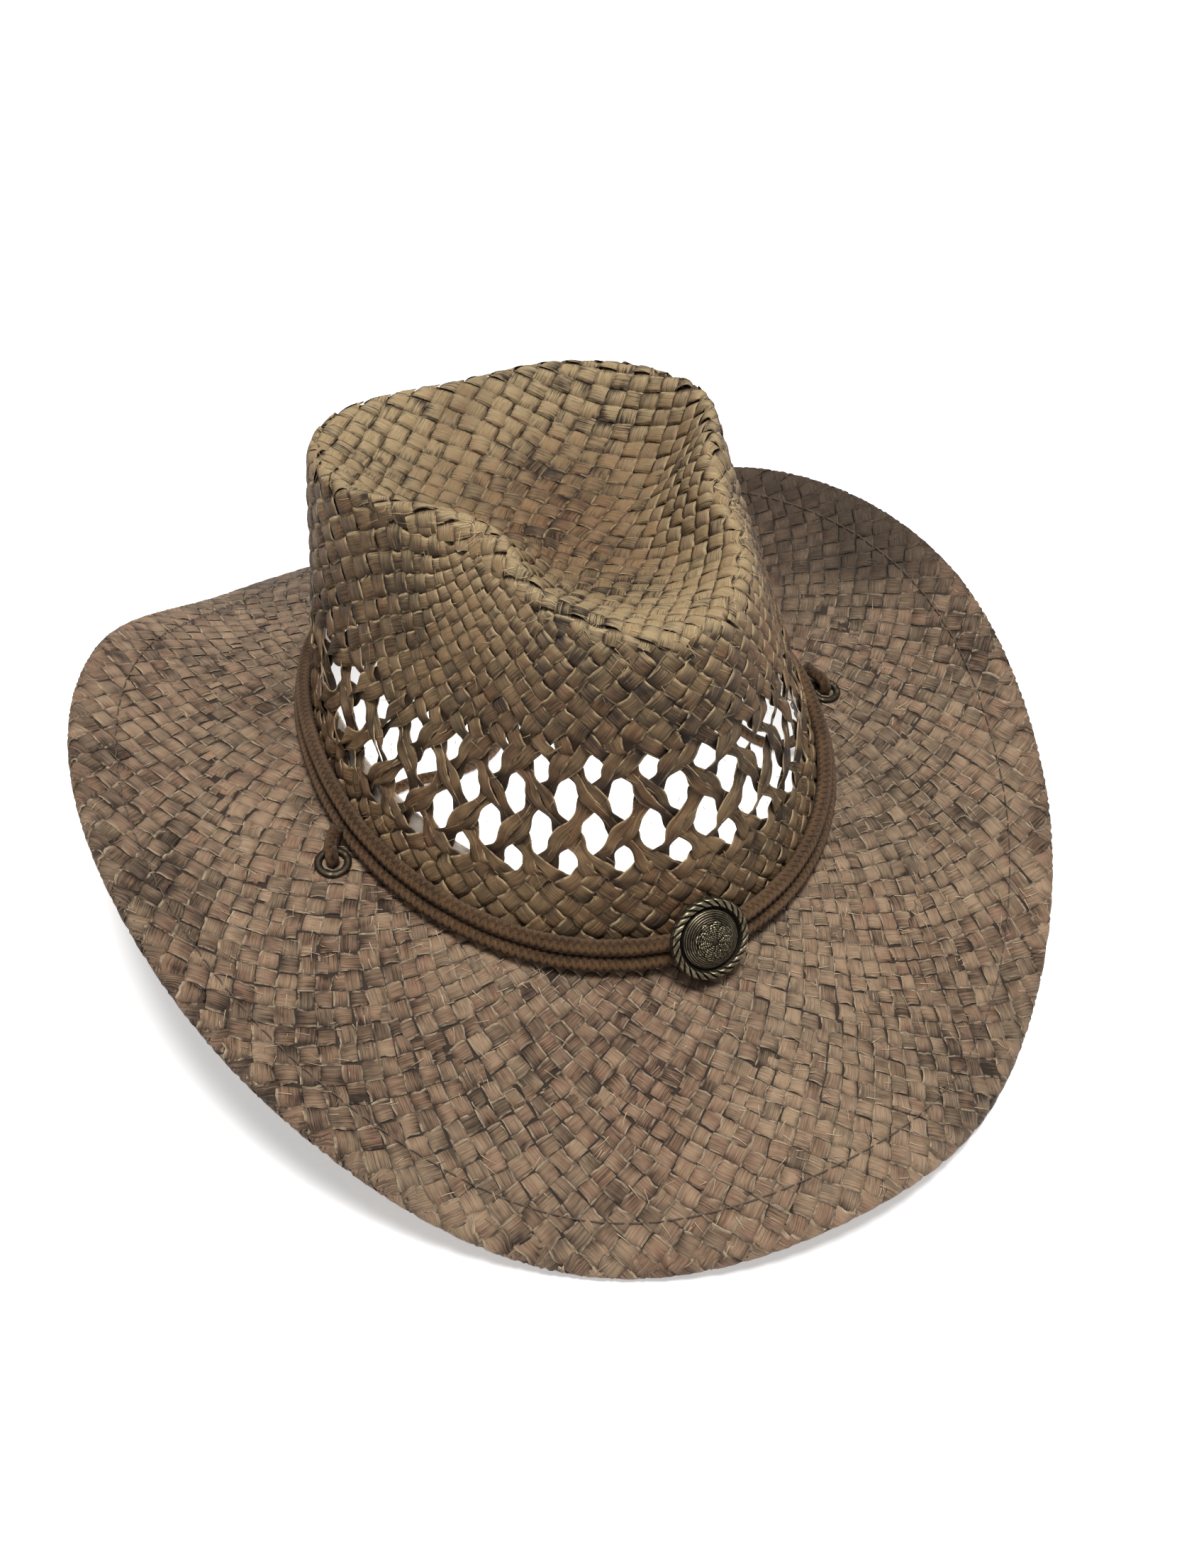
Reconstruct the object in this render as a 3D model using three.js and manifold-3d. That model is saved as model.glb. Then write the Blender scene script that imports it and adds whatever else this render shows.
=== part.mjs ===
// Woven straw western hat with a corded band, cast concho, chin cord and elastic sweatband.
// Millimetres. +Z is up, the front of the hat faces -Y and the wearer's right side is -X.
// The origin is on the resting surface under the middle of the brim.
import * as THREE from 'three';
import { mergeVertices } from 'three/addons/utils/BufferGeometryUtils.js';
import Module from 'manifold-3d';

// ---------------------------------------------------------------- driving dimensions
const BASE_HALF_WIDTH = 87;          // crown at the band, side to side
const BASE_FRONT = 98;               // crown at the band, front reach
const BASE_BACK = 126;               // crown at the band, back reach
const BRIM_HALF_WIDTH = 164;
const BRIM_HALF_LENGTH = 190;
// Heights and radii every 30 degrees: 0 is the front, then round to the back (symmetric lists
// have seven entries, the pinched crown rim has twelve because one side is pinched deeper).
const BRIM_EDGE_Z = [10, 0.8, 33, 62, 56, 15, 0.1];
const BASE_Z = [25, 26, 31, 36, 33, 27, 25];
const RIM_RADIUS = [74, 57, 39, 45, 78, 98, 88, 93, 76, 49, 44, 60];
const RIM_Z = [133, 134, 141, 143, 138, 132, 132, 134, 141, 146, 140, 134];
const CREASE_CENTRE = [0, 14, 113];
const STRAW = 1.6;                   // thickness of the woven straw
const GAP = 0.3;                     // clearance between touching pieces
const REST_LIFT = 4.64;              // height of the lowest edge's mid-surface above the rest plane
const VENT_COLUMNS = 30;             // openings in each row
const VENT_ROWS = [4.62, 4.92, 5.24, 5.62, 6.02, 6.34];
const VENT_SAG = 0.75;               // how far the rows drop down the wall at the sides
const VENT_OPEN = [0, 0.5, 0.64, 0.64, 0.5, 0];
const BAND_CORD_R = 2.7;
const CHIN_CORD_R = 2.2;
const CONCHO_R = 13.5;
const CONCHO_THETA = 3 * Math.PI / 180;
const EYELET_THETA = 79 * Math.PI / 180;
const EYELET_V = 9.05;
const SWEAT_TOP = 6.5;
const SLIDER_Y = 68;                 // middle of the chin slide at rest

// ---------------------------------------------------------------- the hat's surface
const N_COL = 2 * VENT_COLUMNS;
const TAU = 2 * Math.PI;

function knot(theta, values) {
  const ring = values.length === 12 ? values : values.concat(values.slice(1, 6).reverse());
  const n = ring.length;
  const u = ((theta / TAU) % 1 + 1) % 1 * n;
  const i = Math.floor(u);
  const f = u - i;
  const [a, b, c, d] = [ring[(i + n - 1) % n], ring[i % n], ring[(i + 1) % n], ring[(i + 2) % n]];
  return 0.5 * (2 * b + (c - a) * f + (2 * a - 5 * b + 4 * c - d) * f * f
    + (3 * b - a - 3 * c + d) * f ** 3);
}

function smooth(lo, hi, x) {
  const t = Math.min(1, Math.max(0, (x - lo) / (hi - lo)));
  return t * t * (3 - 2 * t);
}

// Control rings from the middle of the crease, over the rim, down the wall and out to the edge.
function controls(theta) {
  const s = Math.sin(theta);
  const c = Math.cos(theta);
  const w = smooth(-0.35, 0.35, c);
  const baseY = BASE_BACK + (BASE_FRONT - BASE_BACK) * w;
  const bz = knot(theta, BASE_Z);
  const rr = knot(theta, RIM_RADIUS);
  const rz = knot(theta, RIM_Z);
  const base = new THREE.Vector3(-BASE_HALF_WIDTH * s, -baseY * c, bz);
  const edge = new THREE.Vector3(-BRIM_HALF_WIDTH * s, -BRIM_HALF_LENGTH * c,
    knot(theta, BRIM_EDGE_Z));
  const rim = new THREE.Vector3(-rr * s, -rr * c, rz);
  const mid = new THREE.Vector3(...CREASE_CENTRE);
  const h = rz - bz;
  const side = s * s;
  const steep = 5 * side + 9 * Math.max(0, -s); // the crease's flanks are steep under the rim
  const mix = (p, q, t, z) => {
    const r = p.clone().lerp(q, t);
    return z === undefined ? r : r.setZ(z(r.z));
  };
  return [
    mid,
    mix(mid, rim, 0.34, () => mid.z + 1 + 4 * side - 0.35 * steep),
    mix(mid, rim, 0.70, (z) => z - 2 - steep),
    mix(mid, rim, 0.97, () => rz + 4),
    mix(rim, base, 0.14, () => rz - 3),
    mix(rim, base, 0.46, () => bz + 0.66 * h),
    mix(rim, base, 0.76, () => bz + 0.36 * h),
    mix(rim, base, 0.96, () => bz + 0.12 * h),
    mix(base, edge, 0, () => bz + 0.5),
    mix(base, edge, 0.14, () => bz - 0.5 + 1.5 * side),
    mix(base, edge, 0.42, (z) => z - 1 - 7.5 * side + 2.5 * c * c),
    mix(base, edge, 0.74, (z) => z - 1 - 7.5 * side + 3 * c * c),
    edge,
  ];
}

// Uniform cubic B-spline through the rings; v runs from 0 (crease) over 8 (band) to 12 (edge).
function surface(theta, v) {
  const rings = controls(theta);
  const last = rings.length - 1;
  const i = Math.min(last - 1, Math.max(0, Math.floor(v)));
  const f = v - i;
  const at = (k) => {
    if (k < 0) return rings[0].clone().multiplyScalar(2).sub(rings[1]);
    if (k > last) return rings[last].clone().multiplyScalar(2).sub(rings[last - 1]);
    return rings[k];
  };
  const w = [(1 - f) ** 3, 3 * f ** 3 - 6 * f * f + 4, -3 * f ** 3 + 3 * f * f + 3 * f + 1, f ** 3];
  const p = new THREE.Vector3();
  for (let k = 0; k < 4; k += 1) p.addScaledVector(at(i - 1 + k), w[k] / 6);
  p.z += REST_LIFT;
  return p;
}

function frameAt(theta, v) {
  if (v < 0.02) {
    return { n: new THREE.Vector3(0, 0, 1), out: new THREE.Vector3(0, -1, 0), scale: 1 };
  }
  const e = 0.01;
  const out = surface(theta, Math.min(12, v + e)).sub(surface(theta, v - e));
  const scale = out.length() / (Math.min(12, v + e) - (v - e));
  const along = surface(theta + e, v).sub(surface(theta - e, v));
  out.normalize();
  const n = new THREE.Vector3().crossVectors(along, out).normalize();
  return { n, out, scale };
}

// A point off the surface: h along the upper normal.
function lifted(theta, v, h) {
  return surface(theta, v).addScaledVector(frameAt(theta, v).n, h);
}

// A point near the brim's edge: a along the brim (negative is inwards), h along the normal.
function nearEdge(theta, a, h) {
  const f = frameAt(theta, 12);
  if (a <= 0) return lifted(theta, 12 + a / f.scale, h);
  return surface(theta, 12).addScaledVector(f.out, a).addScaledVector(f.n, h);
}

// ---------------------------------------------------------------- mesh helpers
function indexed(points, faces) {
  const g = new THREE.BufferGeometry();
  g.setAttribute('position', new THREE.Float32BufferAttribute(points.flatMap((p) => [p.x, p.y, p.z]), 3));
  g.setIndex(faces.flat());
  return g;
}

// Turns a sheet of polygons on the surface into a closed solid between two offsets. Each vertex
// is [theta, v]; open borders get a wall of their own.
function thicken(sheet, polygons, high, low) {
  const n = sheet.length;
  const points = sheet.map(([t, v]) => lifted(t, v, high))
    .concat(sheet.map(([t, v]) => lifted(t, v, low)));
  const faces = [];
  const edges = new Map();
  for (const poly of polygons) {
    for (let k = 0; k < poly.length; k += 1) {
      const a = poly[k];
      const b = poly[(k + 1) % poly.length];
      if (edges.has(`${b}_${a}`)) edges.delete(`${b}_${a}`);
      else edges.set(`${a}_${b}`, [a, b]);
    }
    for (let k = 1; k + 1 < poly.length; k += 1) {
      faces.push([poly[0], poly[k], poly[k + 1]]);
      faces.push([poly[0] + n, poly[k + 1] + n, poly[k] + n]);
    }
  }
  for (const [a, b] of edges.values()) {
    faces.push([b, a, a + n]);
    faces.push([b, a + n, b + n]);
  }
  return indexed(points, faces);
}

// Sweeps a closed section once round the hat: section(theta) gives its points in order.
function ringSweep(steps, section) {
  const points = [];
  const faces = [];
  let m = 0;
  for (let i = 0; i < steps; i += 1) {
    const ring = section(i / steps * TAU);
    m = ring.length;
    points.push(...ring);
  }
  for (let i = 0; i < steps; i += 1) {
    const j = (i + 1) % steps;
    for (let k = 0; k < m; k += 1) {
      const l = (k + 1) % m;
      faces.push([i * m + k, i * m + l, j * m + l]);
      faces.push([i * m + k, j * m + l, j * m + k]);
    }
  }
  return indexed(points, faces);
}

// A round section in the plane across a ring path.
function roundSection(path, r, sides) {
  return (theta) => {
    const e = 0.02;
    const c = path(theta);
    const along = path(theta + e).sub(path(theta - e)).normalize();
    const up = new THREE.Vector3(0, 0, 1).addScaledVector(along, -along.z).normalize();
    const sideways = new THREE.Vector3().crossVectors(along, up);
    return Array.from({ length: sides }, (_, k) => {
      const a = k / sides * TAU;
      return c.clone().addScaledVector(up, r * Math.cos(a)).addScaledVector(sideways, r * Math.sin(a));
    });
  };
}

function roundTube(points, r, sides, steps) {
  const shape = new THREE.Shape(Array.from({ length: sides }, (_, k) =>
    new THREE.Vector2(r * Math.cos(k / sides * TAU), r * Math.sin(k / sides * TAU))));
  const path = new THREE.CatmullRomCurve3(points, false, 'centripetal');
  return new THREE.ExtrudeGeometry(shape, { steps, extrudePath: path, bevelEnabled: false });
}

const material = (color, roughness, metalness = 0) =>
  new THREE.MeshStandardMaterial({ color, roughness, metalness });
const STRAW_MATERIAL = material(0x8d7658, 0.85);
const HEM_MATERIAL = material(0x86705a, 0.85);
const CORD_MATERIAL = material(0x5f4630, 0.95);
const THREAD_MATERIAL = material(0x33302d, 0.8);
const BRASS = material(0x5d553f, 0.42, 0.9);
const STEEL = material(0x9a9a98, 0.4, 0.9);
const ELASTIC = material(0x8e8478, 0.95);
const LEATHER = material(0x4b3524, 0.7);

const hat = new THREE.Group();
hat.name = 'western_hat';
function add(name, geometry, mat) {
  const mesh = new THREE.Mesh(geometry, mat);
  mesh.name = name;
  hat.add(mesh);
  return mesh;
}

// ---------------------------------------------------------------- crown with its openwork vents
const ventV = (theta, row) => VENT_ROWS[row] + VENT_SAG * Math.sin(theta) ** 2;

function crownSolid() {
  const sheet = [[0, 0]];
  const index = new Map();
  const vertex = (key, t, v) => {
    if (!index.has(key)) {
      index.set(key, sheet.length);
      sheet.push([t, v]);
    }
    return index.get(key);
  };
  const wrap = (i) => (i + N_COL) % N_COL;
  const angle = (i) => i / N_COL * TAU;
  const rings = [];
  for (const v of [0.9, 1.7, 2.3, 2.7, 3.1, 3.5, 3.9]) rings.push(() => v);
  rings.push((t) => 3.9 + (ventV(t, 0) - 3.9) * 0.5);
  rings.push((t) => ventV(t, 0));
  const ventStart = rings.length - 1;
  for (let row = 1; row < VENT_ROWS.length; row += 1) rings.push((t) => ventV(t, row));
  const ventEnd = rings.length - 1;
  const bottom = 7.98;
  for (const f of [0.45, 1]) rings.push((t) => ventV(t, 5) + (bottom - ventV(t, 5)) * f);
  const node = (i, r) => vertex(`n${wrap(i)}_${r}`, angle(wrap(i)), rings[r](angle(i)));
  // A node is the middle of an opening when it is on a vent row and its parity is even.
  const opening = (i, r) => {
    const row = r - ventStart;
    if (row < 1 || row > VENT_ROWS.length - 2) return 0;
    return (wrap(i) + row) % 2 === 0 ? VENT_OPEN[row] : 0;
  };
  // The point where an opening's border crosses a grid line.
  const split = (i, r, j, q) => {
    const open = opening(i, r);
    const key = `s${wrap(i)}_${r}_${wrap(j)}_${q}`;
    const ti = angle(i);
    const tj = angle(j);
    const t = ti + (tj - ti) * open;
    const vi = rings[r](ti);
    const vj = rings[q](tj);
    return vertex(key, t, vi + (vj - vi) * open);
  };
  const polygons = [];
  for (let i = 0; i < N_COL; i += 1) polygons.push([0, node(i + 1, 0), node(i, 0)]);
  for (let r = 0; r + 1 < rings.length; r += 1) {
    for (let i = 0; i < N_COL; i += 1) {
      const corners = [[i, r], [i + 1, r], [i + 1, r + 1], [i, r + 1]];
      const poly = [];
      for (let k = 0; k < 4; k += 1) {
        const [a, b] = corners[k];
        const [pa, pb] = corners[(k + 3) % 4];
        const [na, nb] = corners[(k + 1) % 4];
        if (opening(a, b) > 0) {
          poly.push(split(a, b, pa, pb));
          poly.push(split(a, b, na, nb));
        } else poly.push(node(a, b));
      }
      polygons.push(poly);
    }
  }
  if (ventEnd < ventStart) throw new Error('vent rows');
  return thicken(sheet, polygons, STRAW / 2, -STRAW / 2);
}
add('crown', crownSolid(), STRAW_MATERIAL);

// ---------------------------------------------------------------- brim, hem, wire and stitching
function sheetBetween(levels, columns, high, low) {
  const sheet = [];
  const polygons = [];
  for (const v of levels) {
    for (let i = 0; i < columns; i += 1) sheet.push([i / columns * TAU, v]);
  }
  for (let r = 0; r + 1 < levels.length; r += 1) {
    for (let i = 0; i < columns; i += 1) {
      const j = (i + 1) % columns;
      polygons.push([r * columns + i, r * columns + j, (r + 1) * columns + j, (r + 1) * columns + i]);
    }
  }
  return thicken(sheet, polygons, high, low);
}

const wasm = await Module();
wasm.setup();
function solid(geometry) {
  const g = geometry.clone();
  g.deleteAttribute('normal');
  g.deleteAttribute('uv');
  const m = mergeVertices(g, 1e-4);
  return new wasm.Manifold(new wasm.Mesh({
    numProp: 3,
    vertProperties: new Float32Array(m.attributes.position.array),
    triVerts: new Uint32Array(m.index.array),
  }));
}
function geometryOf(manifold) {
  const mesh = manifold.getMesh();
  const g = new THREE.BufferGeometry();
  g.setAttribute('position', new THREE.BufferAttribute(new Float32Array(mesh.vertProperties), 3));
  g.setIndex(Array.from(mesh.triVerts));
  return g;
}

// Each eyelet's own frame: local +Y is the brim's upper normal.
const SIDES = [['right', EYELET_THETA], ['left', TAU - EYELET_THETA]];
function placeOnNormal(geometry, theta, v) {
  const f = frameAt(theta, v);
  const q = new THREE.Quaternion().setFromUnitVectors(new THREE.Vector3(0, 1, 0), f.n);
  const p = surface(theta, v);
  return geometry.applyMatrix4(new THREE.Matrix4().compose(p, q, new THREE.Vector3(1, 1, 1)));
}

const BRIM_LEVELS = [8.02, 8.5, 9.1, 10, 11, 11.5, 12];
let brim = solid(sheetBetween(BRIM_LEVELS, 64, STRAW / 2, -STRAW / 2));
for (const [, theta] of SIDES) {
  const drill = placeOnNormal(new THREE.CylinderGeometry(4.7, 4.7, 8, 16), theta, EYELET_V);
  brim = brim.subtract(solid(drill));
}
add('brim', geometryOf(brim), STRAW_MATERIAL);

// The edge is folded under round a wire: [along the brim, along the normal].
const HEM_SECTION = [
  [0.35, 0.8], [2.2, 0.1], [2.9, -2.2], [0.9, -4.8], [-1.8, -4.6], [-4.2, -2.75], [-12.5, -2.6],
  [-12.5, -1.25], [-4, -1.25], [-1.5, -3.5], [1.2, -3.5], [1.6, -1.3], [0.35, -0.7],
];
const hemSection = HEM_SECTION.slice().reverse();
add('brim_hem', ringSweep(64, (t) => hemSection.map(([a, h]) => nearEdge(t, a, h))), HEM_MATERIAL);
add('brim_wire', ringSweep(64, roundSection((t) => nearEdge(t, 0, -2.2), 1, 6)), STEEL);
add('hem_stitching', ringSweep(64, roundSection((t) => nearEdge(t, -12, 1.45), 0.3, 4)), THREAD_MATERIAL);

// ---------------------------------------------------------------- hat band: two turns of cord
const awayFromFront = (t) => Math.atan2(Math.sin(t - CONCHO_THETA), Math.cos(t - CONCHO_THETA));
const conchoLift = (t) => 2.5 * Math.exp(-((awayFromFront(t) / 0.24) ** 2));
const cordRest = (t) => STRAW / 2 + GAP + BAND_CORD_R + conchoLift(t);
const lowerCord = (t) => lifted(t, 8.12, cordRest(t));
function upperCord(t) {
  const below = lowerCord(t);
  let lo = 6.4;
  let hi = 8.1;
  for (let k = 0; k < 24; k += 1) {
    const mid = (lo + hi) / 2;
    if (lifted(t, mid, cordRest(t)).distanceTo(below) > 2 * BAND_CORD_R + GAP + 0.1) lo = mid;
    else hi = mid;
  }
  return lifted(t, lo, cordRest(t));
}
add('band_cord_lower', ringSweep(60, roundSection(lowerCord, BAND_CORD_R, 8)), CORD_MATERIAL);
add('band_cord_upper', ringSweep(60, roundSection(upperCord, BAND_CORD_R, 8)), CORD_MATERIAL);

// ---------------------------------------------------------------- concho on the front
// The disc leans back by CONCHO_TILT so that its lower edge clears the brim.
const CONCHO_TILT = 33 * Math.PI / 180;
const CONCHO_RAISE = 2.2;
const L = lowerCord(CONCHO_THETA);
const U = upperCord(CONCHO_THETA);
const sidewise = lowerCord(CONCHO_THETA - 0.02).sub(lowerCord(CONCHO_THETA + 0.02)).setZ(0).normalize();
const outward = new THREE.Vector3(sidewise.y, -sidewise.x, 0);
const face = outward.clone().multiplyScalar(Math.cos(CONCHO_TILT))
  .add(new THREE.Vector3(0, 0, Math.sin(CONCHO_TILT)));
const rise = new THREE.Vector3().crossVectors(face, sidewise).normalize();
const middle = L.clone().add(U).multiplyScalar(0.5);
// The disc's back plane stands clear of the nearer cord.
const backPlane = Math.max(U.dot(face), L.dot(face)) + BAND_CORD_R + 0.5;
const conchoCentre = middle.clone().addScaledVector(face, backPlane - middle.dot(face))
  .addScaledVector(rise, CONCHO_RAISE);
// Local +Y is the way the concho faces and local +Z runs up its face.
const conchoPose = new THREE.Matrix4().makeBasis(sidewise.clone().negate(), face, rise).setPosition(conchoCentre);

const FACE_PROFILE = [
  [0, 0], [CONCHO_R - 0.6, 0], [CONCHO_R, 0.7], [CONCHO_R, 1.7], [CONCHO_R - 1.1, 2.7],
  [CONCHO_R - 2.2, 1.9], [CONCHO_R - 2.8, 1.5], [9.6, 2.4], [9.0, 2.4], [8.5, 2.0], [7.0, 3.5],
  [4.4, 4.6], [2.2, 5.1], [0, 5.2],
].map(([r, y]) => new THREE.Vector2(r, y));
let concho = solid(new THREE.LatheGeometry(FACE_PROFILE, 28));
// A plain eight-petal rosette stands proud of the dome.
for (let k = 0; k < 8; k += 1) {
  const petal = new THREE.SphereGeometry(1, 6, 4);
  petal.scale(1.05, 0.7, 2.0);
  petal.translate(0, 4.45, 3.6);
  petal.rotateX(-0.02);
  petal.rotateY(k / 8 * TAU);
  concho = concho.add(solid(petal));
}
const conchoGeometry = geometryOf(concho);
conchoGeometry.applyMatrix4(conchoPose);
add('concho_face', conchoGeometry, BRASS);

// A wire loop on the back of the disc takes both cords.
const LOOP_R = 0.7;
const reach = BAND_CORD_R + 0.65 + LOOP_R;
const at = (centre, a, b) => centre.clone().addScaledVector(rise, a).addScaledVector(face, b);
const loopPoints = [
  at(U, reach, backPlane - U.dot(face) - GAP), at(U, reach, 0.4),
  at(U, reach * 0.75, -reach * 0.72), at(U, 0.2, -reach), at(L, 0.6, -reach),
  at(L, -reach * 0.7, -reach * 0.78), at(L, -reach, 0), at(L, -reach, backPlane - L.dot(face) - GAP),
];
add('concho_loop', roundTube(loopPoints, LOOP_R, 6, 22), BRASS);

// ---------------------------------------------------------------- eyelets
const GROMMET = [
  [3.55, -2.2], [4.3, -2.2], [4.3, 1.15], [6.0, 1.15], [6.1, 1.5], [5.4, 2.05], [4.4, 2.05],
  [3.55, 1.4], [3.55, -2.2],
].map(([r, y]) => new THREE.Vector2(r, y));
const WASHER = [[4.6, -2.0], [6.2, -1.9], [6.2, -1.2], [4.6, -1.2], [4.6, -2.0]]
  .map(([r, y]) => new THREE.Vector2(r, y));
for (const [side, theta] of SIDES) {
  add(`eyelet_${side}`, placeOnNormal(new THREE.LatheGeometry(GROMMET, 16), theta, EYELET_V), BRASS);
  add(`eyelet_washer_${side}`, placeOnNormal(new THREE.LatheGeometry(WASHER, 16), theta, EYELET_V), BRASS);
}

// ---------------------------------------------------------------- sweatband inside the crown
const SWEAT_LEVELS = [SWEAT_TOP, 7.0, 7.5, 7.94];
add('sweatband', sheetBetween(SWEAT_LEVELS, 60, -STRAW / 2 - 0.35, -STRAW / 2 - 1.75), ELASTIC);
add('sweatband_stitching', ringSweep(60, roundSection((t) => lifted(t, 7.72, -STRAW / 2 - 2.4), 0.3, 4)),
  THREAD_MATERIAL);

// ---------------------------------------------------------------- chin cord and its slide
// The cord is tied round the band on each side, drops through the eyelet and lies on the rest
// surface under the hat. These points are the wearer's right half; the left half mirrors them.
const TIE_ROUTE = [
  [-93.6, -15.6, 49.4], [-95.9, -16.4, 46.9], [-97.9, -19.2, 45.6], [-98.6, -22.2, 43.6],
  [-98.6, -22.3, 40.7],
];
const CHIN_ROUTE = [
  [-98.6, -22.3, 40.1], [-98.6, -22.2, 36.0], [-98.4, -20.0, 27.0], [-97.0, -17.0, 15.0],
  [-93.0, -12.0, 6.0], [-87.0, -2.0, 2.6], [-81.0, 18.0, 2.4], [-68.0, 33.0, 2.4],
  [-50.0, 38.0, 2.4], [-34.0, 36.0, 2.4], [-21.0, 37.0, 2.5], [-11.0, 42.0, 2.8],
  [-5.0, 50.5, 3.1], [-3.2, 61.0, 3.1], [-3.2, 75.0, 3.1], [-3.2, 92.0, 3.1], [-3.2, 109.0, 3.1],
  [-6.4, 122.0, 2.8], [-10.2, 133.0, 2.5], [-8.0, 143.5, 2.4], [0, 148.0, 2.4],
];
const SLIDER_SIZE = [15.5, 12, 6.2];
const SLIDER_HOLE_R = 2.6;
const SLIDER_TRAVEL = 30;            // towards +Y, as the behaviour block's slide joint says

const mirrored = (route) => route.map(([x, y, z]) => [-x, y, z]);
const vectors = (route) => route.map((p) => new THREE.Vector3(...p));
add('chin_tie_right', roundTube(vectors(TIE_ROUTE), CHIN_CORD_R, 8, 10), CORD_MATERIAL);
add('chin_tie_left', roundTube(vectors(mirrored(TIE_ROUTE)), CHIN_CORD_R, 8, 10), CORD_MATERIAL);
const chinRoute = CHIN_ROUTE.concat(mirrored(CHIN_ROUTE.slice(0, -1)).reverse());
add('chin_cord', roundTube(vectors(chinRoute), CHIN_CORD_R, 8, 80), CORD_MATERIAL);

function sliderGeometry() {
  const [w, d, h] = SLIDER_SIZE;
  const r = 2.4;
  const outline = new THREE.Shape();
  outline.absarc(w / 2 - r, h / 2 - r, r, 0, Math.PI / 2);
  outline.absarc(-w / 2 + r, h / 2 - r, r, Math.PI / 2, Math.PI);
  outline.absarc(-w / 2 + r, -h / 2 + r, r, Math.PI, 1.5 * Math.PI);
  outline.absarc(w / 2 - r, -h / 2 + r, r, 1.5 * Math.PI, TAU);
  for (const x of [-3.2, 3.2]) {
    const hole = new THREE.Path();
    hole.absarc(x, 0, SLIDER_HOLE_R, 0, TAU, true);
    outline.holes.push(hole);
  }
  const g = new THREE.ExtrudeGeometry(outline, { depth: d, bevelEnabled: false, curveSegments: 5 });
  g.rotateX(Math.PI / 2);
  return g.translate(0, SLIDER_Y + d / 2, h / 2 + 0.02);
}
if (SLIDER_Y + SLIDER_TRAVEL > 104) throw new Error('the slide runs past the straight cords');
add('chin_slider', sliderGeometry(), LEATHER);

export { surface, lifted, nearEdge, frameAt, lowerCord, upperCord };
export default hat;
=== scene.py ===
import math
import bpy
import numpy as np
from mathutils import Matrix, Vector


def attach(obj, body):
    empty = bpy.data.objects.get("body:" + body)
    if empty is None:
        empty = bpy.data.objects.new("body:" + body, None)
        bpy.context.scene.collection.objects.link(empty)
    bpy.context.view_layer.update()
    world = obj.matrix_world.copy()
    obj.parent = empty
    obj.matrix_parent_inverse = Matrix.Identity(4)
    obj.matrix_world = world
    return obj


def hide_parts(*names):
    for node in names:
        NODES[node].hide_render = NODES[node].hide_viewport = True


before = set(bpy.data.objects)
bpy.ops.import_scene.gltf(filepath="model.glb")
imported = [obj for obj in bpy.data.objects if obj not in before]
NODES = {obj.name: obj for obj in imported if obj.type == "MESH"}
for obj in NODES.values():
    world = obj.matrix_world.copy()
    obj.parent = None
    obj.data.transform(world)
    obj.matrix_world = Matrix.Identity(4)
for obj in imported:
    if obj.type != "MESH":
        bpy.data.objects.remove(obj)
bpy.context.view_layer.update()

MM = 0.001
TAU = 2 * math.pi

# ---------------------------------------------------------------- the hat's surface, in mm
BASE_HALF_WIDTH, BASE_FRONT, BASE_BACK = 87.0, 98.0, 126.0
BRIM_HALF_WIDTH, BRIM_HALF_LENGTH = 164.0, 190.0
BRIM_EDGE_Z = [10, 0.8, 33, 62, 56, 15, 0.1]
BASE_Z = [25, 26, 31, 36, 33, 27, 25]
RIM_RADIUS = [74, 57, 39, 45, 78, 98, 88, 93, 76, 49, 44, 60]
RIM_Z = [133, 134, 141, 143, 138, 132, 132, 134, 141, 146, 140, 134]
CREASE_CENTRE = np.array([0.0, 14.0, 113.0])
REST_LIFT = 4.64
VENT_ROWS = [4.62, 4.92, 5.24, 5.62, 6.02, 6.34]
VENT_SAG = 0.75
BAND_R, CHIN_R = 2.7, 2.2
CONCHO_THETA = math.radians(3)
CONCHO_TILT = math.radians(33)
CONCHO_RAISE = 2.2
EYELET_THETA, EYELET_V = math.radians(79), 9.05
STRAW_THICKNESS = 0.35
WALL_STRANDS, INNER_STRANDS, OUTER_STRANDS = 60, 92, 116


def unit(a):
    return a / np.maximum(np.linalg.norm(a, axis=-1, keepdims=True), 1e-9)


def knot(th, values):
    """A smooth closed curve through 12 values round the hat, or 7 that are mirrored left to right."""
    ring = np.array(values if len(values) == 12 else values + values[5:0:-1], float)
    u = (th / TAU) % 1.0 * 12
    i = np.floor(u).astype(int)
    f = u - i
    a, b, c, d = ring[(i - 1) % 12], ring[i % 12], ring[(i + 1) % 12], ring[(i + 2) % 12]
    return 0.5 * (2 * b + (c - a) * f + (2 * a - 5 * b + 4 * c - d) * f**2 + (3 * b - a - 3 * c + d) * f**3)


def smooth(lo, hi, x):
    t = np.clip((x - lo) / (hi - lo), 0, 1)
    return t * t * (3 - 2 * t)


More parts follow.
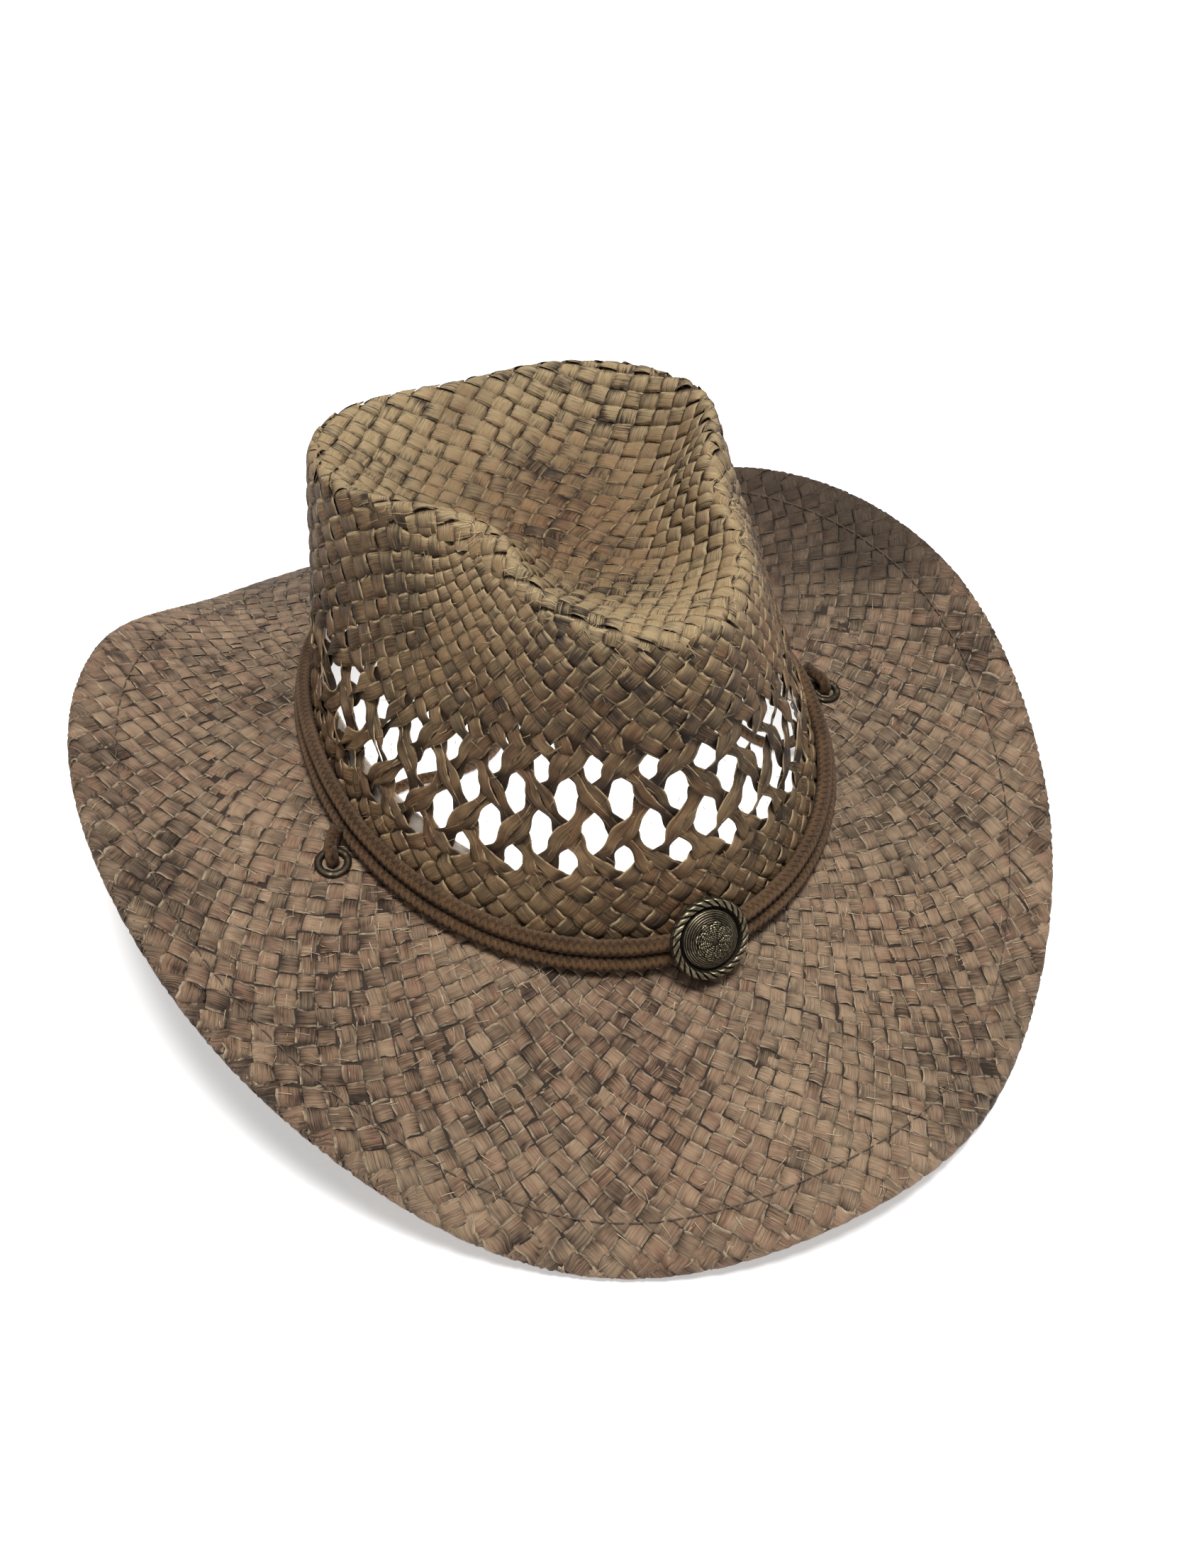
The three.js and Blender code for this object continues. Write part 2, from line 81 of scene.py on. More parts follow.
def control_rings(th):
    """The 13 control points of the hat's section at each angle, from the crease to the brim's edge."""
    s, c = np.sin(th), np.cos(th)
    base_y = BASE_BACK + (BASE_FRONT - BASE_BACK) * smooth(-0.35, 0.35, c)
    bz, rr, rz = knot(th, BASE_Z), knot(th, RIM_RADIUS), knot(th, RIM_Z)
    base = np.stack([-BASE_HALF_WIDTH * s, -base_y * c, bz], -1)
    edge = np.stack([-BRIM_HALF_WIDTH * s, -BRIM_HALF_LENGTH * c, knot(th, BRIM_EDGE_Z)], -1)
    rim = np.stack([-rr * s, -rr * c, rz], -1)
    mid = np.broadcast_to(CREASE_CENTRE, rim.shape)
    h, side = rz - bz, s * s
    steep = 5 * side + 9 * np.maximum(0, -s)

    def mix(p, q, t, z):
        r = p + (q - p) * t
        r[..., 2] = z(r[..., 2])
        return r

    return np.stack([
        mid,
        mix(mid, rim, 0.34, lambda z: mid[..., 2] + 1 + 4 * side - 0.35 * steep),
        mix(mid, rim, 0.70, lambda z: z - 2 - steep),
        mix(mid, rim, 0.97, lambda z: rz + 4),
        mix(rim, base, 0.14, lambda z: rz - 3),
        mix(rim, base, 0.46, lambda z: bz + 0.66 * h),
        mix(rim, base, 0.76, lambda z: bz + 0.36 * h),
        mix(rim, base, 0.96, lambda z: bz + 0.12 * h),
        mix(base, edge, 0, lambda z: bz + 0.5),
        mix(base, edge, 0.14, lambda z: bz - 0.5 + 1.5 * side),
        mix(base, edge, 0.42, lambda z: z - 1 - 7.5 * side + 2.5 * c * c),
        mix(base, edge, 0.74, lambda z: z - 1 - 7.5 * side + 3 * c * c),
        edge,
    ])


def surface(th, v):
    """Points on the middle of the straw: v runs from 0 (crease) over 8 (band) to 12 (edge)."""
    th, v = np.broadcast_arrays(np.asarray(th, float), np.asarray(v, float))
    shape, th, v = th.shape, th.ravel(), v.ravel()
    r = control_rings(th)
    r = np.concatenate([2 * r[:1] - r[1:2], r, 2 * r[-1:] - r[-2:-1]])
    i = np.clip(np.floor(v).astype(int), 0, 11)
    f = (v - i)[:, None]
    k = np.arange(len(th))
    p = ((1 - f)**3 * r[i, k] + (3 * f**3 - 6 * f * f + 4) * r[i + 1, k]
         + (-3 * f**3 + 3 * f * f + 3 * f + 1) * r[i + 2, k] + f**3 * r[i + 3, k]) / 6
    p[:, 2] += REST_LIFT
    return p.reshape(shape + (3,))


def frame_at(th, v, place=None, top=12.0):
    """The normal, the direction down the slope, and mm per unit of v and per radian."""
    place = place or surface
    e = 0.01
    v = np.asarray(v, float)
    hi, lo = np.minimum(top, v + e), np.maximum(0.0, v - e)
    out = place(th, hi) - place(th, lo)
    length = np.linalg.norm(out, axis=-1)
    along = place(th + e, v) - place(th - e, v)
    return unit(np.cross(along, out)), unit(out), length / (hi - lo), np.linalg.norm(along, axis=-1) / (2 * e)


def lifted(th, v, h):
    """Points h mm above the middle of the straw."""
    n = frame_at(th, v)[0]
    return surface(th, v) + n * np.asarray(h)[..., None]


# The edge turns down round the wire and back under the brim: (along the brim, along the normal).
HEM_PATH = np.array([(0, 0), (1.7, -0.35), (2.6, -1.8), (1.5, -3.3),
                     (-1.2, -3.6), (-3.6, -2.6), (-7, -2.2), (-12.6, -2.1)], float)
HEM_S = np.concatenate([[0], np.cumsum(np.linalg.norm(np.diff(HEM_PATH, axis=0), axis=1))]) / 10
HEM_END = 12 + HEM_S[-1]


def hem_path(q):
    """A smooth line through HEM_PATH; q is a tenth of the distance in mm past the edge."""
    i = np.clip(np.searchsorted(HEM_S, q, side="right") - 1, 0, len(HEM_S) - 2)
    f = ((q - HEM_S[i]) / (HEM_S[i + 1] - HEM_S[i]))[..., None]
    p = np.concatenate([[[-3.0, 0]], HEM_PATH, [2 * HEM_PATH[-1] - HEM_PATH[-2]]])
    a, b, c, d = p[i], p[i + 1], p[i + 2], p[i + 3]
    return 0.5 * (2 * b + (c - a) * f + (2 * a - 5 * b + 4 * c - d) * f**2 + (3 * b - a - 3 * c + d) * f**3)


def brim_place(th, q):
    """The brim, and past q = 12 its turned-under hem."""
    th, q = np.broadcast_arrays(np.asarray(th, float), np.asarray(q, float))
    flat = surface(th, np.minimum(q, 12))
    _, out, scale, _ = frame_at(th, np.full(th.shape, 12.0))
    ah = hem_path(np.maximum(q - 12, 0))
    v = 12 + np.minimum(ah[..., 0], 0) / scale
    inner, ni = surface(th, v), frame_at(th, v)[0]
    hem = inner + out * np.maximum(ah[..., :1], 0) + ni * ah[..., 1:]
    return np.where((q > 12)[..., None], hem, flat)


# ---------------------------------------------------------------- mesh helpers
def make(name, verts, faces, material, attrs=None):
    """A mesh from points in mm; faces is an array of quads, or a list of arrays of quads and triangles."""
    groups = faces if isinstance(faces, list) else [faces]
    corners = np.concatenate([g.ravel() for g in groups])
    sizes = np.concatenate([np.full(len(g), g.shape[1]) for g in groups])
    used = np.unique(corners)
    remap = np.zeros(len(verts), np.int64)
    remap[used] = np.arange(len(used))
    me = bpy.data.meshes.new(name)
    me.vertices.add(len(used))
    me.vertices.foreach_set("co", (verts[used] * MM).astype(np.float32).ravel())
    me.loops.add(len(corners))
    me.loops.foreach_set("vertex_index", remap[corners].astype(np.int32))
    me.polygons.add(len(sizes))
    me.polygons.foreach_set("loop_start", (np.cumsum(sizes) - sizes).astype(np.int32))
    me.polygons.foreach_set("use_smooth", np.ones(len(sizes), bool))
    me.update(calc_edges=True)
    for key, values in (attrs or {}).items():
        values = values[used].astype(np.float32)
        kind = "FLOAT" if values.ndim == 1 else "FLOAT_VECTOR"
        a = me.attributes.new(key, kind, "POINT")
        a.data.foreach_set("value" if kind == "FLOAT" else "vector", values.ravel())
    me.materials.append(material)
    ob = bpy.data.objects.new(name, me)
    bpy.context.scene.collection.objects.link(ob)
    return ob


def grid_quads(rows, cols, wrap_rows=False, wrap_cols=False):
    r = np.arange(rows if wrap_rows else rows - 1)
    c = np.arange(cols if wrap_cols else cols - 1)
    r, c = np.meshgrid(r, c, indexing="ij")
    r2, c2 = (r + 1) % rows, (c + 1) % cols
    return np.stack([r * cols + c, r * cols + c2, r2 * cols + c2, r2 * cols + c], -1).reshape(-1, 4)


TOP_U = np.array([-1.0, -0.55, 0.0, 0.55, 1.0])
LOW_U = np.array([0.8, -0.8])


class Strands:
    """Collects flat strands and turns them into one mesh."""

    def __init__(self):
        self.v, self.q, self.n = [], [], 0
        self.a = {"grain": [], "shade": [], "side": [], "tone": [], "fall": []}

    def add(self, P, N, half, height, bulge, thick, keep, shade, tone, fall, roll=None, bent=None):
        """P, N are (strands, samples, 3) and the rest (strands, samples)."""
        T = unit(np.gradient(P, axis=1))
        W = unit(np.cross(N, T))
        N = np.cross(T, W)
        if roll is not None:
            c, s = np.cos(roll)[..., None], np.sin(roll)[..., None]
            W, N = W * c + N * s, N * c - W * s
        step = np.linalg.norm(np.diff(P, axis=1), axis=-1)
        along = np.concatenate([np.zeros((len(P), 1)), np.cumsum(step, 1)], 1)
        ns, nt = half.shape
        u = np.concatenate([TOP_U, LOW_U])
        top = np.concatenate([1 - np.abs(TOP_U)**2.2, np.zeros(2)])
        low = np.concatenate([np.zeros(5), np.ones(2)])
        m = len(u)
        off = height[..., None] + bulge[..., None] * top - thick * low
        if bent is None:
            v = P[:, :, None] + W[:, :, None] * (half[..., None, None] * u[:, None])
            v += N[:, :, None] * off[..., None]
        else:  # the section follows the surface instead of its tangent
            v = np.stack([np.add(*bent(W, half * u[k], off[..., k])) for k in range(m)], 2)
        base = (np.arange(ns)[:, None] * nt + np.arange(nt - 1)) * m
        ok = keep[:, :-1] & keep[:, 1:]
        b0 = base[ok][:, None]
        k = np.arange(m)
        k2 = (k + 1) % m
        q = np.stack([b0 + k, b0 + k2, b0 + m + k2, b0 + m + k], -1).reshape(-1, 4)
        self.v.append(v.reshape(-1, 3))
        self.q.append(q + self.n)
        self.n += v.size // 3
        full = np.ones((ns, nt, m))
        across = half[..., None] * u
        ident = full * tone[..., None] * 97.0
        self.a["grain"].append(np.stack([full * along[..., None], across, ident], -1).reshape(-1, 3))
        self.a["shade"].append((full * shade[..., None]).ravel())
        self.a["side"].append((full * u).ravel())
        self.a["tone"].append((full * tone[..., None]).ravel())
        self.a["fall"].append((full * fall[..., None]).ravel())

    def build(self, name, material):
        return make(name, np.concatenate(self.v), np.concatenate(self.q), material,
                    {k: np.concatenate(x) for k, x in self.a.items()})


def between(table, i, f, j, g):
    """A value between the entries of a table whose first index goes round the hat."""
    i2 = (i + 1) % len(table)
    near = table[i, j] * (1 - f) + table[i2, j] * f
    return near * (1 - g) + (table[i, j + 1] * (1 - f) + table[i2, j + 1] * f) * g


class Lattice:
    """Diagonal strands wound both ways round the hat. S counts strand spacings down the slope."""

    columns = 240

    def __init__(self, place, n, anchors, s_lo, s_hi, top, v_min):
        self.place, self.n, self.top = place, n, top
        self.ds, self.s_lo = 0.125, s_lo
        th = np.arange(self.columns) / self.columns * TAU
        count = int(round((s_hi - s_lo) / self.ds)) + 1
        S = s_lo + np.arange(count) * self.ds
        table = np.zeros((self.columns, count))
        a_s = np.array(sorted(anchors))
        a_v = np.stack([anchors[s](th) for s in sorted(anchors)], 1)
        for k, s in enumerate(S):
            if a_s[0] <= s <= a_s[-1]:
                table[:, k] = [np.interp(s, a_s, row) for row in a_v]
        first, last = int(round((a_s[0] - s_lo) / self.ds)), int(round((a_s[-1] - s_lo) / self.ds))
        for direction, start, stop in ((1, last, count), (-1, first, -1)):
            v = table[:, start].copy()
            for k in range(start + direction, stop, direction):
                for _ in range(2):
                    _, _, scale, girth = frame_at(th, np.clip(v, v_min, top), place, top)
                    v = v + direction * self.ds / 2 * girth * TAU / n / scale
                v = np.clip(v, v_min - 0.01, top + 0.01)
                table[:, k] = v
        self.table = table

    def v(self, th, S):
        a = (th / TAU) % 1.0 * self.columns
        i = np.floor(a).astype(int) % self.columns
        f = a - np.floor(a)
        b = np.clip((S - self.s_lo) / self.ds, 0, self.table.shape[1] - 1.001)
        j = np.floor(b).astype(int)
        g = b - j
        return between(self.table, i, f, j, g)


def wander(count, S, size, rate=0.35, seed=0):
    """Slow random drift of each strand."""
    r = np.random.default_rng(seed)
    out = np.zeros((count, len(S)))
    for k in range(3):
        speed = rate * (k + 1) * TAU * r.uniform(0.6, 1.4, (count, 1))
        out += np.sin(S * speed + r.uniform(0, TAU, (count, 1))) / (k + 1)
    return out * size / 1.8


def weave(lat, s_lo, s_hi, v_lo, v_hi, family, per, half_k, amp, bulge, seed, crisp=1.9,
          phase=lambda S: TAU * S, pinch=None):
    """One family of strands (family +1 or -1) between two limits of v."""
    rng = np.random.default_rng(seed)
    n = lat.n
    S = np.arange(s_lo, s_hi + 1e-6, 1.0 / per)
    idx = np.arange(n)[:, None]
    col = TAU / n
    squeeze = np.zeros_like(S) if pinch is None else pinch(S)
    pair = np.where(idx % 2 == 0, 0.5, -0.5)
    place_i = idx + idx % 2 + pair * (1 - squeeze)
    place_i = place_i + wander(n, S, 0.085, seed=seed + 5) * (1 - 0.55 * np.minimum(1, squeeze * 1.3))
    th = (place_i + family * S) * col
    v = lat.v(th, S[None, :] + 0 * th)
    P = lat.place(th, v)
    N, _, _, girth = frame_at(th, np.clip(v, 0.3, lat.top), lat.place, lat.top)
    wob = 1 + wander(n, S, 0.15, 0.9, seed + 9)
    half = half_k * girth * col * wob * (1 - 0.62 * squeeze)
    ph = phase(S)[None, :] + 0 * th
    over = np.cos(ph) * family
    flat = np.tanh(crisp * over) / math.tanh(crisp)
    lumps = wander(n, S, 0.14, 1.3, seed + 3)
    edge = 1.0
    if lat.place is brim_place:
        edge = 1 - 0.55 * smooth(11.5, 12.0, v)
        half = half * (1 - 0.09 * np.exp(-((v - 10.3) / 0.55) ** 2) + 0.10 * smooth(11.6, 12.0, v))
    height = amp * edge * flat + lumps * (1 - np.abs(over))
    bul = bulge * (1 - 0.5 * squeeze) * (0.62 + 0.38 * over) * (1 + wander(n, S, 0.3, 1.0, seed + 2))
    roll = None
    if pinch is not None:
        turn = rng.choice([-1, 1], (n, 1)) * rng.uniform(0.25, 0.8, (n, 1))
        roll = turn * squeeze[None, :] * np.sin(ph)
        height = height + squeeze[None, :] * pair * 0.7
    tone = np.broadcast_to(rng.uniform(0, 1, (n, 1)), th.shape)
    bent = None
    if lat.top > 12:
        _, out, scale, _ = frame_at(th, np.clip(v, 0.3, lat.top), lat.place, lat.top)
        side = unit(np.cross(N, out))

        def bent(W, across, off):
            a = th + np.sum(W * side, -1) * across / girth * sign
            b = np.clip(v + np.sum(W * out, -1) * across / scale, 7.5, lat.top)
            return lat.place(a, b), frame_at(a, b, lat.place, lat.top)[0] * off[..., None]

        e = 1e-3
        sign = np.sign(np.sum((lat.place(th + e, v) - lat.place(th - e, v)) * side, -1))
    keep = (v >= (v_lo(th) if callable(v_lo) else v_lo)) & (v <= v_hi)
    return dict(P=P, N=N, half=half, height=height, bulge=bul, thick=STRAW_THICKNESS, keep=keep, shade=over,
                tone=tone, fall=np.sin(ph) * family, roll=roll, bent=bent)


# ---------------------------------------------------------------- materials
def rgb(r, g, b):
    def lin(c):
        c /= 255.0
        return c / 12.92 if c <= 0.04045 else ((c + 0.055) / 1.055) ** 2.4
    return (lin(r), lin(g), lin(b), 1.0)


class Mat:
    def __init__(self, name):
        self.m = bpy.data.materials.new(name)
        self.m.use_nodes = True
        self.t = self.m.node_tree
        self.t.nodes.clear()
        self.out = self.t.nodes.new("ShaderNodeOutputMaterial")
        self.p = self.t.nodes.new("ShaderNodeBsdfPrincipled")
        self.t.links.new(self.p.outputs[0], self.out.inputs[0])

    def node(self, kind, **props):
        n = self.t.nodes.new("ShaderNode" + kind)
        for k, v in props.items():
            setattr(n, k, v)
        return n

    def link(self, a, b):
        self.t.links.new(a, b)

    def attr(self, name):
        return self.node("Attribute", attribute_name=name)

    def math(self, op, a, b=None, clamp=False):
        n = self.node("Math", operation=op, use_clamp=clamp)
        for i, x in enumerate((a, b)):
            if x is None:
                continue
            if isinstance(x, (int, float)):
                n.inputs[i].default_value = x
            else:
                self.link(x, n.inputs[i])
        return n.outputs[0]

    def scaled(self, vec, x, y, z):
        n = self.node("Mapping")
        self.link(vec, n.inputs["Vector"])
        n.inputs["Scale"].default_value = (x, y, z)
        return n.outputs[0]

    def noise(self, vec, scale, detail=3.0, rough=0.55):
        n = self.node("TexNoise")
        self.link(vec, n.inputs["Vector"])
        n.inputs["Scale"].default_value = scale
        n.inputs["Detail"].default_value = detail
        n.inputs["Roughness"].default_value = rough
        return n.outputs["Fac"]

    def ramp(self, fac, stops):
        n = self.node("ValToRGB")
        self.link(fac, n.inputs[0])
        e = n.color_ramp.elements
        while len(e) < len(stops):
            e.new(0.5)
        for k, (pos, c) in enumerate(stops):
            e[k].position = pos
            e[k].color = c
        return n.outputs[0]

    def mix(self, fac, a, b):
        n = self.node("Mix", data_type="RGBA")
        for sock, x in ((n.inputs[0], fac), (n.inputs[6], a), (n.inputs[7], b)):
            if isinstance(x, (int, float, tuple)):
                sock.default_value = x
            else:
                self.link(x, sock)
        return n.outputs[2]

    def bump(self, height, strength, distance):
        n = self.node("Bump")
        n.inputs["Strength"].default_value = strength
        n.inputs["Distance"].default_value = distance
        self.link(height, n.inputs["Height"])
        return n.outputs[0]


def grey(v):
    return (v, v, v, 1.0)


def straw_material(name, dark, warm, cool, light, edge, top=None, end_shade_mix=0.78):
    m = Mat(name)
    grain = m.attr("grain").outputs["Vector"]
    shade = m.attr("shade").outputs["Fac"]
    side = m.attr("side").outputs["Fac"]
    tone = m.attr("tone").outputs["Fac"]
    fall = m.attr("fall").outputs["Fac"]
    place = m.node("TexCoord").outputs["Object"]
    streak = m.noise(m.scaled(grain, 0.06, 2.3, 1.0), 1.0, 4.0, 0.65)
    fine = m.noise(m.scaled(grain, 0.16, 6.0, 1.0), 1.0, 2.0, 0.6)
    blotch = m.noise(m.scaled(grain, 0.12, 0.10, 1.0), 1.0, 2.0, 0.5)
    cloud = m.noise(place, 22.0, 2.0, 0.5)
    strand_hue = m.noise(m.scaled(grain, 0.07, 0.05, 1.3), 1.0, 1.0, 0.5)
    area_hue = m.noise(place, 14.0, 2.0, 0.5)
    hue = m.math("ADD", m.math("MULTIPLY", strand_hue, 0.6), m.math("MULTIPLY", area_hue, 0.5))
    mid = m.mix(m.ramp(hue, [(0.42, grey(0)), (0.66, grey(1))]), warm, cool)
    # Painted light: straw that faces up and lies high on the crown is mixed towards the lighter top colour,
    # as if lit from above.
    if top is not None:
        z = m.node("SeparateXYZ")
        m.link(m.node("NewGeometry").outputs["Normal"], z.inputs[0])
        high = m.node("SeparateXYZ")
        m.link(place, high.inputs[0])
        up = m.math("MULTIPLY", m.ramp(z.outputs[2], [(0.35, grey(0)), (0.9, grey(0.8))]),
                    m.ramp(high.outputs[2], [(0.118, grey(0)), (0.132, grey(1))]))
        mid = m.mix(up, mid, top)
    f = m.math("MULTIPLY", streak, 1.05)
    f = m.math("ADD", f, m.math("MULTIPLY", fine, 0.70))
    f = m.math("ADD", f, m.math("MULTIPLY", tone, 0.14))
    f = m.math("ADD", f, m.math("MULTIPLY", blotch, 1.25))
    f = m.math("ADD", f, m.math("MULTIPLY", cloud, 0.85))
    # Painted light: stretches that pass over the crossing strand are made a little lighter.
    f = m.math("ADD", f, m.math("MULTIPLY", shade, 0.10))
    f = m.math("SUBTRACT", f, 1.545)
    base = m.mix(m.ramp(f, [(0.16, grey(0)), (0.50, grey(1))]), dark, mid)
    base = m.mix(m.ramp(f, [(0.50, grey(0)), (0.86, grey(0.85))]), base, light)
    # Painted highlight: the strands' side edges are mixed towards the light edge colour, in patches.
    rim = m.math("SUBTRACT", m.math("ABSOLUTE", side), 0.73)
    rim = m.math("MULTIPLY", rim, 4.5, clamp=True)
    highlight_patches = m.noise(m.scaled(grain, 0.30, 0.12, 1.0), 1.0, 2.0)
    rim = m.math("MULTIPLY", rim, m.ramp(highlight_patches, [(0.40, grey(0)), (0.56, grey(1))]))
    base = m.mix(rim, base, edge)
    # Painted shade: each strand darkens, in frayed streaks, towards the end where it dives under the crossing
    # strand.
    low = m.math("ADD", m.math("MULTIPLY", fall, 0.55), m.math("MULTIPLY", shade, -0.55))
    low = m.math("ADD", low, m.math("MULTIPLY", m.math("SUBTRACT", streak, 0.5), 2.6))
    low = m.math("ADD", low, m.math("MULTIPLY", m.math("SUBTRACT", fine, 0.5), 1.4))
    base = m.mix(m.ramp(low, [(0.30, grey(0)), (0.80, grey(end_shade_mix))]), base, dark)
    # Darker towards the back right (rgb 54, 41, 30): partly a darker tint of the straw there, partly painted
    # shade where the crown's shadow falls on the brim.
    at = m.node("SeparateXYZ")
    m.link(place, at.inputs[0])
    back = m.math("ADD", m.math("MULTIPLY", at.outputs[0], 0.66), m.math("MULTIPLY", at.outputs[1], 0.75))
    back = m.math("ADD", back, m.math("MULTIPLY", m.math("SUBTRACT", cloud, 0.5), 0.20))
    base = m.mix(m.ramp(back, [(0.060, grey(0)), (0.140, grey(0.85))]), base, rgb(54, 41, 30))
    m.link(base, m.p.inputs["Base Color"])
    h = m.math("ADD", m.math("MULTIPLY", streak, 0.8), m.math("MULTIPLY", fine, 0.5))
    m.link(m.bump(h, 0.85, 0.0011), m.p.inputs["Normal"])
    m.p.inputs["Roughness"].default_value = 0.62
    m.p.inputs["Specular IOR Level"].default_value = 0.35
    return m.m


def plain_material(name, colour, rough, metal=0.0):
    m = Mat(name)
    m.p.inputs["Base Color"].default_value = colour
    m.p.inputs["Roughness"].default_value = rough
    m.p.inputs["Metallic"].default_value = metal
    return m.m


# The crown's straw is coloured darker than the brim's, as painted shade on the crown's walls; its top colour
# is the painted light on the cap. The brim's straw is also a pinker brown. Both edge colours are the painted
# highlight on the strands' side edges.
STRAW = straw_material("straw", rgb(38, 26, 17), rgb(110, 78, 52), rgb(94, 76, 52), rgb(144, 116, 82),
                       rgb(200, 174, 134), top=rgb(184, 161, 121))
STRAW_BRIM = straw_material("straw_brim", rgb(50, 37, 27), rgb(136, 105, 83), rgb(116, 98, 78),
                            rgb(168, 141, 113), rgb(210, 187, 156), end_shade_mix=0.55)


def ride(ob, slot_name, body="hat", *nodes):
    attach(ob, body)
    if nodes:
        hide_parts(*nodes)
    return ob


# ---------------------------------------------------------------- camera
def add_camera():
    az, el, roll = math.radians(-29.22), math.radians(45.19), math.radians(2.19)
    back = Vector((math.sin(az) * math.cos(el), -math.cos(az) * math.cos(el), math.sin(el)))
    right = (-back).cross(Vector((0, 0, 1))).normalized()
    up = right.cross(-back)
    place = Vector((0, 0, 60 + REST_LIFT)) + back * 444.97 + right * 8.01 + up * -35.55
    r2 = right * math.cos(roll) + up * math.sin(roll)
    u2 = -right * math.sin(roll) + up * math.cos(roll)
    cam = bpy.data.objects.new("camera", bpy.data.cameras.new("camera"))
    bpy.context.scene.collection.objects.link(cam)
    cam.matrix_world = Matrix.Translation(place * MM) @ Matrix((r2, u2, back)).transposed().to_4x4()
    cam.data.lens = 28.85
    cam.data.sensor_width = 36
    cam.data.clip_start, cam.data.clip_end = 0.01, 20
    bpy.context.scene.camera = cam
    bpy.context.scene.view_settings.view_transform = "Standard"


add_camera()


# ---------------------------------------------------------------- cords
def spline(points, step=0.5):
    """Centripetal Catmull-Rom through the points, sampled evenly."""
    p = np.array(points, float)
    p = np.concatenate([[2 * p[0] - p[1]], p, [2 * p[-1] - p[-2]]])
    out = []
    for a, b, c, d in zip(p[:-3], p[1:-2], p[2:-1], p[3:]):
        t = np.cumsum([0] + [max(1e-4, np.linalg.norm(y - x)) ** 0.5 for x, y in ((a, b), (b, c), (c, d))])
        s = np.linspace(t[1], t[2], 24, endpoint=False)[:, None]
        a1 = (t[1] - s) / (t[1] - t[0]) * a + (s - t[0]) / (t[1] - t[0]) * b
        a2 = (t[2] - s) / (t[2] - t[1]) * b + (s - t[1]) / (t[2] - t[1]) * c
        a3 = (t[3] - s) / (t[3] - t[2]) * c + (s - t[2]) / (t[3] - t[2]) * d
        b1 = (t[2] - s) / (t[2] - t[0]) * a1 + (s - t[0]) / (t[2] - t[0]) * a2
        b2 = (t[3] - s) / (t[3] - t[1]) * a2 + (s - t[1]) / (t[3] - t[1]) * a3
        out.append((t[2] - s) / (t[2] - t[1]) * b1 + (s - t[1]) / (t[2] - t[1]) * b2)
    line = np.concatenate(out + [p[-2:-1]])
    return even(line, step)


def travelled(line):
    """The distance along a line at each of its points."""
    return np.concatenate([[0], np.cumsum(np.linalg.norm(np.diff(line, axis=0), axis=1))])


def even(line, step):
    d = travelled(line)
    s = np.linspace(0, d[-1], max(3, int(round(d[-1] / step)) + 1))
    return np.stack([np.interp(s, d, line[:, k]) for k in range(3)], 1)


def braid(name, line, r, material, closed=False, carriers=6, pitch=3.1, around=20):
    """A round braided cord: ridges run both ways round it and cross over and under."""
    n = len(line)
    if closed:
        T = unit(np.roll(line, -1, 0) - np.roll(line, 1, 0))
    else:
        T = unit(np.gradient(line, axis=0))
    A = np.zeros_like(line)
    a = unit(np.cross(T[0], [0.0, 0.1, 1.0]))
    for k in range(n):  # a frame carried along without twist
        a = a - T[k] * np.dot(a, T[k])
        a /= np.linalg.norm(a)
        A[k] = a
    B = np.cross(T, A)
    s = travelled(line)
    if closed:  # closes the twist left over at the join
        total = s[-1] + np.linalg.norm(line[0] - line[-1])
        end = A[-1] - T[0] * np.dot(A[-1], T[0])
        turn = math.atan2(np.dot(end, B[0]), np.dot(end, A[0]))
        rot = -turn * s / total
        c, q = np.cos(rot)[:, None], np.sin(rot)[:, None]
        A, B = A * c + B * q, B * c - A * q
        pitch = total / round(total / pitch)
    u = np.arange(around) / around * TAU
    U, Z = np.meshgrid(u, s)
    f = carriers * U / TAU
    p, m = Z / pitch + f / 2, Z / pitch - f / 2
    over = np.sign(np.sin(math.pi * (p + m)))
    ridge = np.abs(np.sin(math.pi * p))**0.6 * (over > 0) + np.abs(np.sin(math.pi * m))**0.6 * (over <= 0)
    lump = np.interp(Z, s, wander(1, s / 14, 0.05, 0.7, len(line))[0])
    R = r * (0.84 + 0.19 * ridge + lump * 0.5)
    v = line[:, None] + (A[:, None] * np.cos(U)[..., None] + B[:, None] * np.sin(U)[..., None]) * R[..., None]
    quads = grid_quads(n, around, closed, True)
    attrs = {"grain": np.stack([Z, U * r, Z * 0], -1).reshape(-1, 3), "shade": ridge.ravel(),
             "side": np.where(over > 0, p, m).ravel(), "tone": (over * 0.5 + 0.5).ravel()}
    v = v.reshape(-1, 3)
    if closed:
        return make(name, v, quads, material, attrs)
    v = np.concatenate([v, line[:1], line[-1:]])  # the middles of the two end caps
    k = np.arange(around)
    k2 = (k + 1) % around
    first = np.stack([np.full(around, n * around), k2, k], -1)
    last = np.stack([np.full(around, n * around + 1), (n - 1) * around + k, (n - 1) * around + k2], -1)
    attrs = {key: np.concatenate([x, x[:2]]) for key, x in attrs.items()}
    return make(name, v, [quads, first, last], material, attrs)


